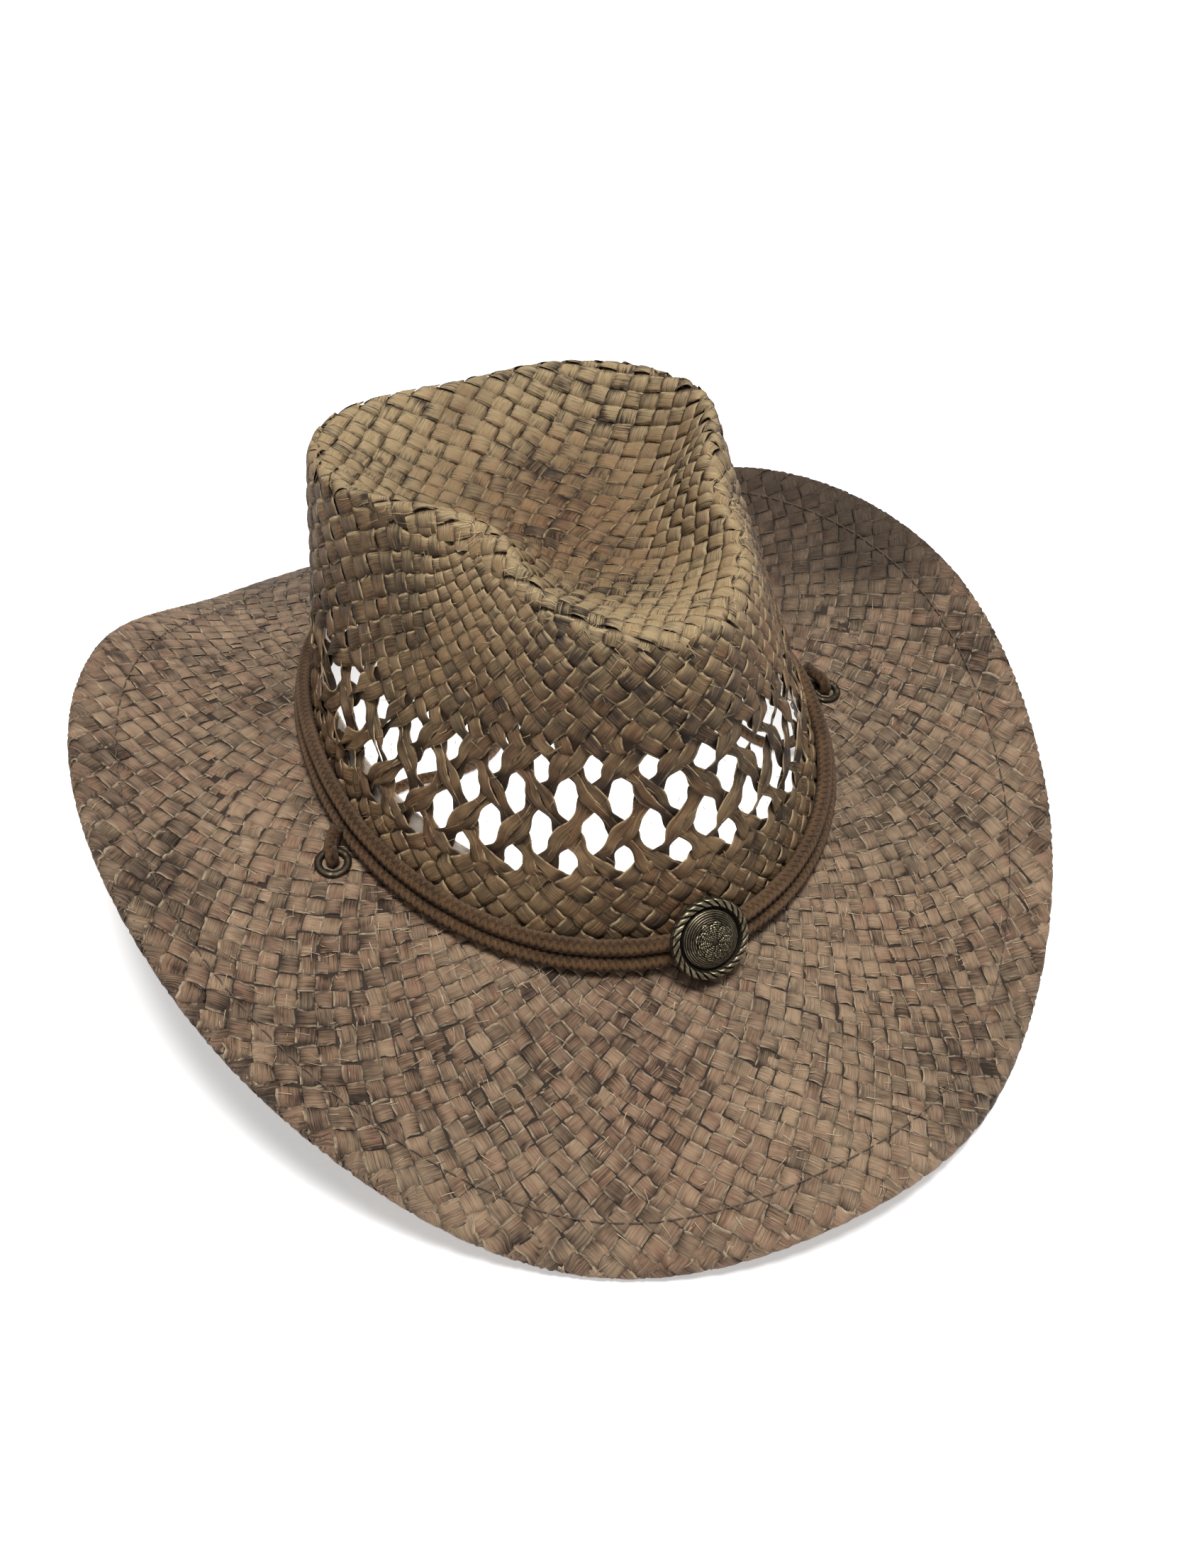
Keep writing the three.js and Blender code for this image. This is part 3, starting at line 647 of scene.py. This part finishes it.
def cord_material():
    m = Mat("cord")
    grain = m.attr("grain").outputs["Vector"]
    ridge = m.attr("shade").outputs["Fac"]
    side = m.attr("side").outputs["Fac"]
    fibre = m.noise(m.scaled(grain, 1.3, 3.2, 1), 1.0, 3.0, 0.7)
    blotch = m.noise(m.scaled(grain, 0.08, 0.2, 1), 1.0, 2.0, 0.5)
    yarn = m.math("SINE", m.math("MULTIPLY", side, 6.0 * TAU))
    # Painted shade: the carriers' ridges are coloured lighter and the grooves between them darker.
    f = m.math("ADD", m.math("MULTIPLY", ridge, 0.34), m.math("MULTIPLY", fibre, 0.85))
    f = m.math("ADD", f, m.math("MULTIPLY", blotch, 0.35))
    f = m.math("ADD", f, m.math("MULTIPLY", yarn, 0.07))
    f = m.math("SUBTRACT", f, 0.50)
    colour = m.ramp(f, [(0.14, rgb(34, 22, 13)), (0.48, rgb(100, 73, 47)), (0.90, rgb(150, 117, 82))])
    m.link(colour, m.p.inputs["Base Color"])
    h = m.math("ADD", m.math("MULTIPLY", fibre, 0.5), m.math("MULTIPLY", yarn, 0.18))
    h = m.math("ADD", m.math("MULTIPLY", ridge, 0.6), h)
    m.link(m.bump(h, 0.7, 0.0005), m.p.inputs["Normal"])
    m.p.inputs["Roughness"].default_value = 0.95
    m.p.inputs["Specular IOR Level"].default_value = 0.15
    m.p.inputs["Sheen Weight"].default_value = 0.08
    return m.m


CORD = cord_material()

TIE_ROUTE = [
    (-93.6, -15.6, 49.4), (-95.9, -16.4, 46.9), (-97.9, -19.2, 45.6), (-98.6, -22.2, 43.6),
    (-98.6, -22.3, 40.7)]
CHIN_ROUTE = [
    (-98.6, -22.3, 40.1), (-98.6, -22.2, 36.0), (-98.4, -20.0, 27.0), (-97.0, -17.0, 15.0),
    (-93.0, -12.0, 6.0), (-87.0, -2.0, 2.6), (-81.0, 18.0, 2.4), (-68.0, 33.0, 2.4),
    (-50.0, 38.0, 2.4), (-34.0, 36.0, 2.4), (-21.0, 37.0, 2.5), (-11.0, 42.0, 2.8),
    (-5.0, 50.5, 3.1), (-3.2, 61.0, 3.1), (-3.2, 75.0, 3.1), (-3.2, 92.0, 3.1),
    (-3.2, 104.0, 3.1), (-3.2, 109.0, 3.1), (-6.4, 122.0, 2.8), (-10.2, 133.0, 2.5),
    (-8.0, 143.5, 2.4), (0, 148.0, 2.4)]


def mirrored(route):
    return [(-x, y, z) for x, y, z in route]


chin_line = spline(CHIN_ROUTE + mirrored(CHIN_ROUTE[:-1])[::-1], 0.7)
chin = braid("chin_cord_braid", chin_line, CHIN_R, CORD, carriers=6, pitch=2.7, around=16)
ride(chin, "cord", "hat", "chin_cord")
for side, route in (("right", TIE_ROUTE), ("left", mirrored(TIE_ROUTE))):
    tie = braid(f"chin_tie_{side}_braid", spline(route, 0.7), CHIN_R, CORD, carriers=6, pitch=2.7, around=16)
    ride(tie, "cord", "hat", f"chin_tie_{side}")


# ---------------------------------------------------------------- hat band
def away(t):
    """The angle from the concho."""
    return np.arctan2(np.sin(t - CONCHO_THETA), np.cos(t - CONCHO_THETA))


def cord_rest(t):
    """The height of the band cords' middle over the straw; they stand off behind the concho."""
    return 0.8 + 0.3 + BAND_R + 2.5 * np.exp(-((away(t) / 0.24) ** 2))


def lower_cord(t):
    return lifted(t, np.full_like(t, 8.12), cord_rest(t))


def upper_cord(t):
    """The turn that rests on the lower one, found by halving."""
    below = lower_cord(t)
    lo, hi = np.full_like(t, 6.4), np.full_like(t, 8.1)
    for _ in range(24):
        mid = (lo + hi) / 2
        far = np.linalg.norm(lifted(t, mid, cord_rest(t)) - below, axis=-1) > 2 * BAND_R + 0.4
        lo, hi = np.where(far, mid, lo), np.where(far, hi, mid)
    return lifted(t, lo, cord_rest(t))


def hairs(name, lines, across, width, material, attrs):
    """One flat, tapering hair along each line of four points."""
    number = len(lines)
    half = (width * (1 - 0.7 * np.linspace(0, 1, 4)))[None, :, None]
    v = np.stack([lines - across[:, None] * half, lines + across[:, None] * half], 2)
    quads = (np.arange(number)[:, None, None] * 8 + grid_quads(4, 2)).reshape(-1, 4)
    return make(name, v.reshape(-1, 3), quads, material, attrs)


def fuzz(name, line, r, number, seed):
    """Short loose hairs on a cord."""
    rng = np.random.default_rng(seed)
    i = rng.integers(1, len(line) - 1, number)
    T = unit(line[i + 1] - line[i - 1])
    A = unit(np.cross(T, rng.normal(0, 1, (number, 3))))
    B = np.cross(T, A)
    size = rng.uniform(0.8, 2.6, number)
    k = np.linspace(0, 1, 4)
    d = unit(T * rng.choice([-1, 1], (number, 1)) + B * rng.normal(0, 0.6, (number, 1)) + A * 0.35)
    p = line[i, None] + A[:, None] * (r * 0.95) + d[:, None] * (size[:, None] * k)[..., None]
    p = p - A[:, None] * (0.25 * size[:, None] * k**2)[..., None]
    ones = np.ones(number * 8)
    # shade 1.2 gives the loose hairs the lighter colour of the ridge tops in the cord's painted shade.
    attrs = {"grain": np.stack([ones * 3, ones, ones], -1), "shade": ones * 1.2, "side": ones * 0,
             "tone": ones}
    return ride(hairs(name, p, B, 0.06, CORD, attrs), "cord")


ring_t = np.arange(1400) / 1400 * TAU
for label, path in (("lower", lower_cord), ("upper", upper_cord)):
    loop = path(ring_t)
    loop = even(np.concatenate([loop, loop[:1]]), 0.5)[:-1]
    band = braid(f"band_cord_{label}_braid", loop, BAND_R, CORD, closed=True, carriers=8, pitch=2.5,
                 around=24)
    ride(band, "cord", "hat", f"band_cord_{label}")
    fuzz(f"band_cord_{label}_fuzz", loop, BAND_R, 2200, 11)

# ---------------------------------------------------------------- crown wall
anchors = {float(k): (lambda th, k=k: VENT_ROWS[k] + VENT_SAG * np.sin(th)**2) for k in range(6)}
WALL = Lattice(surface, WALL_STRANDS, anchors, -8.0, 16.0, 8.4, v_min=1.6)


def wall_phase(S):
    """Where the wall's strands cross: at half the pace through the vents."""
    S = np.asarray(S, float)
    return np.where(S < 1, TAU * S, np.where(S < 4, math.pi * (S + 1), math.pi * 5 + TAU * (S - 4)))


def cap_border(th):
    """Where the top's weave meets the wall's: lower down where the crown is pinched."""
    narrow = knot(th, [0.3, 0.6, 1, 1, 0.25, 0, 0, 0, 0.25, 1, 1, 0.6])
    return 3.42 + 0.38 * np.clip(narrow, 0, 1)


def wall_pinch(S):
    """How far the wall's strands draw together in pairs round the vents."""
    zone = smooth(-0.1, 1.6, S) * (1 - smooth(3.5, 5.1, S))
    return zone * (0.66 - 0.16 * np.cos(TAU * S))


for family, label in ((1, "a"), (-1, "b")):
    w = Strands()
    puff = 0.62 if family == 1 else 0.38
    w.add(**weave(WALL, -7.5, 15.5, cap_border, 8.06, family, per=11, half_k=0.375 if family == 1 else 0.36,
                  amp=0.55, bulge=puff, phase=wall_phase, pinch=wall_pinch, seed=31 + family))
    wall = ride(w.build(f"crown_weave_{label}", STRAW), "straw")
    if family == 1:
        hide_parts("crown")


# ---------------------------------------------------------------- crown top: one square weave over the crease
CAP_STEP, CAP_COLUMNS = 0.8, 720


def cap_tables():
    """v by angle and by distance over the surface from the crease's centre."""
    th = np.arange(CAP_COLUMNS) / CAP_COLUMNS * TAU
    v = np.linspace(0.0, 4.6, 185)
    T, V = np.meshgrid(th, v, indexing="ij")
    p = surface(T, V)
    step = np.linalg.norm(np.diff(p, axis=1), axis=-1)
    rho = np.concatenate([np.zeros((CAP_COLUMNS, 1)), np.cumsum(step, 1)], 1)
    grid = np.arange(0, 175.0, CAP_STEP)
    return np.stack([np.interp(grid, rho[i], v) for i in range(CAP_COLUMNS)])


CAP_V = cap_tables()


def cap_at(x, y):
    """The angle and v of a point of the flat weave before it is pressed onto the crown."""
    th = np.arctan2(-x, -y) % TAU
    a = th / TAU * CAP_COLUMNS
    i = np.floor(a).astype(int) % CAP_COLUMNS
    f = a - np.floor(a)
    b = np.clip(np.hypot(x, y) / CAP_STEP, 0, CAP_V.shape[1] - 1.001)
    j = np.floor(b).astype(int)
    g = b - j
    return th, between(CAP_V, i, f, j, g)


CAP_PITCH, CAP_STRANDS = 6.3, 40
cap = Strands()
reach = CAP_STRANDS / 2 * CAP_PITCH
along = np.arange(-reach, reach, CAP_PITCH / 6)
for family in (1, -1):
    idx = np.arange(-CAP_STRANDS // 2, CAP_STRANDS // 2)[:, None]
    drift = wander(CAP_STRANDS, along / 12, 0.35, 0.3, 71 + family)
    s = np.broadcast_to(along, drift.shape)
    t = idx * CAP_PITCH + drift
    p, q = (s, t) if family == 1 else (t, s)
    ang = math.radians(45)
    th, v = cap_at(p * math.cos(ang) - q * math.sin(ang), p * math.sin(ang) + q * math.cos(ang))
    P = surface(th, v)
    N = frame_at(th, np.maximum(v, 0.1))[0]
    over = np.cos(math.pi * (s / CAP_PITCH + idx)) * family
    rng = np.random.default_rng(90 + family)
    tone = np.broadcast_to(rng.uniform(0, 1, (CAP_STRANDS, 1)), over.shape)
    T = unit(np.gradient(P, axis=1))
    gap = np.gradient(P, axis=0)
    space = np.linalg.norm(gap - T * np.sum(gap * T, -1, keepdims=True), axis=-1)
    wob = 1 + wander(CAP_STRANDS, along / 12, 0.09, 0.9, 77 + family)
    half = np.clip(0.53 * space * wob, 1.2, 4.4)
    fall = np.sin(math.pi * (s / CAP_PITCH + idx)) * family
    height = 0.5 * np.tanh(1.9 * over) / math.tanh(1.9)
    cap.add(P, N, half, height, 0.40 * (0.7 + 0.3 * over), STRAW_THICKNESS, v < cap_border(th) + 0.10, over,
            tone, fall)
ride(cap.build("crown_top_weave", STRAW), "straw")


# ---------------------------------------------------------------- brim
BRIM_WEAVE = dict(half_k=0.368, amp=0.42, bulge=0.16, crisp=2.8)
INNER = Lattice(brim_place, INNER_STRANDS, {0.0: lambda th: 7.95 + 0 * th}, -1.0, 14.0, 10.4, v_min=7.5)
for family, label in ((1, "a"), (-1, "b")):
    w = Strands()
    w.add(**weave(INNER, -0.5, 13.5, 7.96, 10.24, family, per=12, seed=51 + family, **BRIM_WEAVE))
    piece = ride(w.build(f"brim_weave_inner_{label}", STRAW_BRIM), "straw")
    if family == 1:
        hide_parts("brim")
OUTER = Lattice(brim_place, OUTER_STRANDS, {0.0: lambda th: 10.2 + 0 * th}, -1.0, 17.0, HEM_END, v_min=9.9)
for family, label in ((1, "a"), (-1, "b")):
    w = Strands()
    w.add(**weave(OUTER, -0.3, 16.8, 10.16, HEM_END - 0.01, family, per=11, seed=61 + family, **BRIM_WEAVE))
    piece = ride(w.build(f"brim_weave_outer_{label}", STRAW_BRIM), "straw_hem")
    if family == 1:
        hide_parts("brim_hem")


# ---------------------------------------------------------------- a dark sheet of painted shade between the brim's two faces
def shade_sheet():
    # A thin dark sheet inside the brim: painted shade, so that the gaps between the strands look dark.
    rows, cols, half = 12, 240, 0.04
    side = rows * cols
    V, T = np.meshgrid(np.linspace(8.4, 11.8, rows), np.arange(cols) / cols * TAU, indexing="ij")
    p, n = surface(T, V), frame_at(T, V)[0]
    v = np.concatenate([(p + n * half).reshape(-1, 3), (p - n * half).reshape(-1, 3)])
    q = grid_quads(rows, cols, False, True)
    parts = [q]
    for row in (0, rows - 1):
        k = row * cols + np.arange(cols)
        k2 = row * cols + (np.arange(cols) + 1) % cols
        parts.append(np.stack([k, k2, k2 + side, k + side], -1))
    parts.append(q[:, ::-1] + side)
    return make("brim_shade_sheet", v, np.concatenate(parts), plain_material("shade_sheet", rgb(46, 35, 26), 0.95))


ride(shade_sheet(), "straw")


# ---------------------------------------------------------------- loose fibres frayed off the strands
def fibres(name, number, v_lo, v_hi, seed, material):
    rng = np.random.default_rng(seed)
    th, v = rng.uniform(0, TAU, number), rng.uniform(v_lo, v_hi, number)
    n, out, _, _ = frame_at(th, v)
    side = np.cross(out, n)
    ang = rng.choice([-1, 1], number) * math.radians(45) + rng.normal(0, 0.22, number)
    d = out * np.cos(ang)[:, None] + side * np.sin(ang)[:, None]
    w = np.cross(d, n)
    size = rng.uniform(1.5, 5.5, number)
    lift = rng.uniform(0.1, 0.9, number)
    bend = rng.normal(0, 0.5, number)
    k = np.linspace(0, 1, 4)
    base = surface(th, v) + n * 0.85
    line = base[:, None] + d[:, None] * (size[:, None] * k)[..., None]
    line = line + n[:, None] * (lift[:, None] * k**2)[..., None]
    line = line + w[:, None] * (bend[:, None] * k**2)[..., None]
    ones = np.ones(number * 8)
    tone = np.repeat(rng.uniform(0, 1, number), 8)
    # side 0.85 gives each fibre part of the painted edge highlight; shade 1 gives it the painted light of a
    # stretch that passes over and keeps it out of the painted end shade.
    attrs = {"grain": np.stack([tone * 50, ones * 0, tone * 9], -1), "shade": ones, "side": ones * 0.85,
             "tone": tone, "fall": ones * 0}
    return ride(hairs(name, line, w, 0.11, material, attrs), "straw")


fibres("crown_fibres", 1300, 3.0, 7.6, 5, STRAW)
fibres("brim_fibres", 1500, 8.3, 12.0, 6, STRAW_BRIM)


# ---------------------------------------------------------------- concho
def concho_pose():
    """The centre of the concho's back and its three axes."""
    t = np.array([CONCHO_THETA])
    L, U = lower_cord(t)[0], upper_cord(t)[0]
    side = (lower_cord(t - 0.02) - lower_cord(t + 0.02))[0]
    side[2] = 0
    side = unit(side)
    outward = np.array([side[1], -side[0], 0])
    face = outward * math.cos(CONCHO_TILT) + np.array([0, 0, math.sin(CONCHO_TILT)])
    rise = unit(np.cross(face, side))
    mid = (L + U) / 2
    back = max(U @ face, L @ face) + BAND_R + 0.5
    return mid + face * (back - mid @ face) + rise * CONCHO_RAISE, -side, face, rise


CENTRE, SIDE, FACE, RISE = concho_pose()


def concho_height(r, a):
    """A domed rosette inside a rope border, in mm above the disc's back."""
    base = np.interp(r, [0, 2.2, 4.4, 7.0, 8.6, 9.3, 9.8, 10.1, 10.5, 11.0, 12.9, 13.35, 13.5],
                     [4.9, 4.8, 4.3, 3.4, 2.5, 1.9, 1.0, 0.95, 1.5, 1.9, 1.7, 1.1, 0.7])
    twist = (a * 26 / TAU + r * 0.42) % 1.0
    ring = np.exp(-((r - 11.9) / 1.25) ** 4)
    h = base + ring * 0.95 * np.sin(math.pi * twist) ** 0.55 - 0.15 * ring
    h = h + 0.09 * np.sin(r * 9.5) * (r < 9.2) * (r > 1.0)
    for count, r0, r1, turn, size in ((8, 1.2, 5.6, 0.0, 0.75), (8, 3.2, 6.6, math.pi / 8, 0.45)):
        t = np.clip((r - r0) / (r1 - r0), 0, 1)
        local = (a - turn + math.pi / count) % (TAU / count) - math.pi / count
        wide = np.sin(math.pi * t) ** 0.6 * 0.80 * math.pi / count
        inside = np.clip(1 - (np.abs(local) / np.maximum(wide, 1e-3)) ** 2, 0, 1) * (t > 0) * (t < 1)
        vein = 1 - 0.45 * np.exp(-((local * r) / 0.16) ** 2)
        h = h + size * inside ** 0.5 * vein
    return h + 0.5 * np.exp(-(r / 0.85) ** 2)


def build_concho():
    rr = np.concatenate([np.linspace(0.02, 10, 76), np.linspace(10.12, 13.4, 34), [13.5]])
    na = 300
    aa = np.arange(na) / na * TAU
    R, A = np.meshgrid(rr, aa, indexing="ij")
    H = concho_height(R, A)
    R = np.concatenate([R, np.full((1, na), 13.5), np.full((1, na), 12.9), np.full((1, na), 0.02)])
    H = np.concatenate([H, np.full((1, na), 0.6), np.zeros((2, na))])
    A = np.concatenate([A, A[:3]])
    p = CENTRE + SIDE * (R * np.cos(A))[..., None] + RISE * (R * np.sin(A))[..., None] + FACE * H[..., None]
    blur = H.copy()
    for _ in range(6):
        inward, outward = np.vstack([blur[:1], blur[:-1]]), np.vstack([blur[1:], blur[-1:]])
        blur = (np.roll(blur, 1, 1) + np.roll(blur, -1, 1) + inward + outward + blur) / 5
    depth = np.clip((H - blur) * 3.2 + 0.5, 0, 1)
    return make("concho_face_cast", p.reshape(-1, 3), grid_quads(len(R), na, False, True)[:, ::-1], BRASS,
                {"shade": depth.ravel()})


def brass_material():
    m = Mat("antique_brass")
    depth = m.attr("shade").outputs["Fac"]
    tc = m.node("TexCoord").outputs["Object"]
    patch = m.noise(tc, 900, 4.0, 0.6)
    soil = m.noise(tc, 180, 3.0, 0.6)
    f = m.math("ADD", m.math("MULTIPLY", depth, 0.9), m.math("MULTIPLY", patch, 0.35))
    f = m.math("ADD", f, m.math("MULTIPLY", soil, 0.25))
    f = m.math("SUBTRACT", f, 0.32)
    colour = m.ramp(f, [(0.18, rgb(16, 13, 10)), (0.52, rgb(58, 50, 39)), (0.86, rgb(186, 174, 142))])
    m.link(colour, m.p.inputs["Base Color"])
    rough = m.ramp(f, [(0.2, grey(0.7)), (0.8, grey(0.33))])
    m.link(rough, m.p.inputs["Roughness"])
    m.p.inputs["Metallic"].default_value = 0.85
    m.link(m.bump(patch, 0.25, 0.0002), m.p.inputs["Normal"])
    return m.m


BRASS = brass_material()
ride(build_concho(), "brass", "concho", "concho_face")


# ---------------------------------------------------------------- turned pieces
def lathe(name, profile, centre, axis, material, sides=56):
    axis = unit(np.asarray(axis, float))
    a = unit(np.cross(axis, [0.0, 1.0, 0.1]))
    b = np.cross(axis, a)
    ang = np.arange(sides) / sides * TAU
    prof = np.array(profile, float)
    ring = a * np.cos(ang)[:, None] + b * np.sin(ang)[:, None]
    v = centre + prof[:, None, :1] * ring[None] + prof[:, None, 1:] * axis
    return make(name, v.reshape(-1, 3), grid_quads(len(prof), sides, True, True), material,
                {"shade": np.repeat(np.clip(0.5 + (prof[:, 1] - prof[:, 1].mean()) * 0.08, 0.3, 0.8), sides)})


GROMMET = [(3.55, -2.2), (4.3, -2.2), (4.3, 1.15), (5.9, 1.12), (6.12, 1.3), (6.05, 1.6),
           (5.7, 1.92), (5.2, 2.08), (4.7, 2.1), (4.2, 2.0), (3.8, 1.75), (3.58, 1.35)]
WASHER = [(4.6, -2.0), (6.1, -1.95), (6.2, -1.7), (6.2, -1.2), (4.6, -1.2)]
for side, th in (("right", EYELET_THETA), ("left", TAU - EYELET_THETA)):
    t = np.array([th])
    n, _, _, _ = frame_at(t, np.array([EYELET_V]))
    c = surface(t, np.array([EYELET_V]))[0]
    ride(lathe(f"eyelet_{side}_turned", GROMMET, c, n[0], BRASS), "brass", "hat", f"eyelet_{side}")
    washer = lathe(f"eyelet_washer_{side}_turned", WASHER, c, n[0], BRASS)
    ride(washer, "brass", "hat", f"eyelet_washer_{side}")


# ---------------------------------------------------------------- sweatband and stitching
def elastic_material():
    m = Mat("elastic")
    grain = m.attr("grain").outputs["Vector"]
    f = m.noise(m.scaled(grain, 0.35, 3.0, 1), 1.0, 3.0, 0.6)
    m.link(m.ramp(f, [(0.3, rgb(112, 101, 90)), (0.7, rgb(164, 153, 140))]), m.p.inputs["Base Color"])
    m.link(m.bump(f, 0.5, 0.0003), m.p.inputs["Normal"])
    m.p.inputs["Roughness"].default_value = 0.95
    return m.m


ELASTIC = elastic_material()
THREAD = plain_material("thread", rgb(88, 76, 66), 0.85)


def build_sweatband():
    na = 1260
    th = np.arange(na) / na * TAU
    rib = 0.16 * np.abs(np.sin(th * 315 / 2))
    rows = [(6.5, -1.4), (6.5, -2.3), (6.56, -2.62), (6.9, -2.5), (7.3, -2.5), (7.7, -2.5), (7.9, -2.6),
            (7.94, -2.3), (7.94, -1.4), (7.3, -1.3)]
    V = np.array([[v] * na for v, _ in rows])
    H = np.array([h - (rib if h < -2 else 0 * rib) for _, h in rows])
    T = np.broadcast_to(th, V.shape)
    p = surface(T, V) + frame_at(T, V)[0] * H[..., None]
    g = np.stack([T * 100, V * 24, 0 * T], -1)
    quads = grid_quads(len(rows), na, True, True)[:, ::-1]
    return make("sweatband_ribbed", p.reshape(-1, 3), quads, ELASTIC, {"grain": g.reshape(-1, 3)})


ride(build_sweatband(), "elastic", "hat", "sweatband")


def stitches(name, path, pitch, fill, r, dip, node):
    """A row of separate stitches along a ring: each rises out of the cloth and goes back in."""
    t = np.arange(2880) / 2880 * TAU
    line = path(t, 0 * t)
    d = travelled(np.concatenate([line, line[:1]]))
    total = d[-1]
    count = int(total / pitch)
    rng = np.random.default_rng(7)
    steps, sides = 9, 6
    k = np.linspace(0, 1, steps)
    s = (np.arange(count)[:, None] + k * (fill + rng.uniform(-0.05, 0.05, (count, 1)))) * total / count
    th = np.interp(s, d, np.append(t, TAU))
    bow = -dip * (2 * np.abs(k - 0.5)) ** 4
    P = path(th, np.broadcast_to(bow, th.shape))
    T = unit(np.gradient(P, axis=1))
    A = unit(np.cross(T, np.array([0, 0, 1.0])))
    B = np.cross(T, A)
    u = np.arange(sides) / sides * TAU
    v = P[:, :, None] + r * (A[:, :, None] * np.cos(u)[:, None] + B[:, :, None] * np.sin(u)[:, None])
    q = grid_quads(steps, sides, False, True)
    quads = (np.arange(count)[:, None, None] * steps * sides + q).reshape(-1, 4)
    return ride(make(name, v.reshape(-1, 3), quads, THREAD), "thread", "hat", node)


def hem_line(th, h):
    """The row of stitches, 12 mm in from the edge."""
    scale = frame_at(th, np.full_like(th, 12.0))[2]
    v = 12 - 12.0 / scale
    return surface(th, v) + frame_at(th, v)[0] * (1.35 + h)[..., None]


def sweatband_line(th, h):
    return lifted(th, np.full_like(th, 7.72), -3.15 - h)


stitches("hem_stitching_row", hem_line, 5.6, 0.80, 0.20, 1.0, "hem_stitching")
stitches("sweatband_stitching_row", sweatband_line, 4.2, 0.75, 0.3, 0.6, "sweatband_stitching")


def repaint(node, material):
    """Gives a piece that comes straight from the frame its material."""
    NODES[node].data.materials.clear()
    NODES[node].data.materials.append(material)


repaint("brim_wire", plain_material("wire", rgb(150, 150, 148), 0.4, 0.9))
repaint("concho_loop", plain_material("loop_brass", rgb(112, 102, 78), 0.45, 0.9))


def leather_material():
    m = Mat("leather")
    tc = m.node("TexCoord").outputs["Object"]
    f = m.noise(tc, 1400, 3.0, 0.6)
    g = m.noise(tc, 120, 3.0, 0.6)
    m.link(m.ramp(g, [(0.3, rgb(58, 38, 24)), (0.7, rgb(96, 66, 44))]), m.p.inputs["Base Color"])
    m.link(m.bump(f, 0.4, 0.0002), m.p.inputs["Normal"])
    m.p.inputs["Roughness"].default_value = 0.6
    return m.m


repaint("chin_slider", leather_material())


# ---------------------------------------------------------------- floor and light
def add_stage():
    me = bpy.data.meshes.new("floor")
    s = 6.0
    me.from_pydata([(-s, -s, 0), (s, -s, 0), (s, s, 0), (-s, s, 0)], [], [(0, 1, 2, 3)])
    pale = plain_material("floor", (0.85, 0.85, 0.85, 1), 0.9)
    floor_shader = next(n for n in pale.node_tree.nodes if n.type == "BSDF_PRINCIPLED")
    floor_shader.inputs["Emission Color"].default_value = (1, 1, 1, 1)
    floor_shader.inputs["Emission Strength"].default_value = 0.36
    me.materials.append(pale)
    floor = bpy.data.objects.new("floor", me)
    bpy.context.scene.collection.objects.link(floor)
    world = bpy.data.worlds.new("studio")
    world.use_nodes = True
    world.node_tree.nodes["Background"].inputs[0].default_value = (1, 1, 1, 1)
    world.node_tree.nodes["Background"].inputs[1].default_value = 0.34
    bpy.context.scene.world = world
    for name, place, size, power in (("key", (-0.05, -0.2, 1.8), 0.5, 34), ("top", (0.1, 0.3, 1.9), 1.2, 6),
                                     ("inside", (0.0, 0.01, 0.098), 0.07, 0.22)):
        light = bpy.data.objects.new(name, bpy.data.lights.new(name, "AREA"))
        light.data.size = size
        light.data.energy = power
        light.location = place
        light.rotation_mode = "QUATERNION"
        aim = Vector((0, 0.01 if name == "inside" else 0, 0.05))
        light.rotation_quaternion = (Vector(place) - aim).to_track_quat("Z", "Y")
        bpy.context.scene.collection.objects.link(light)


add_stage()
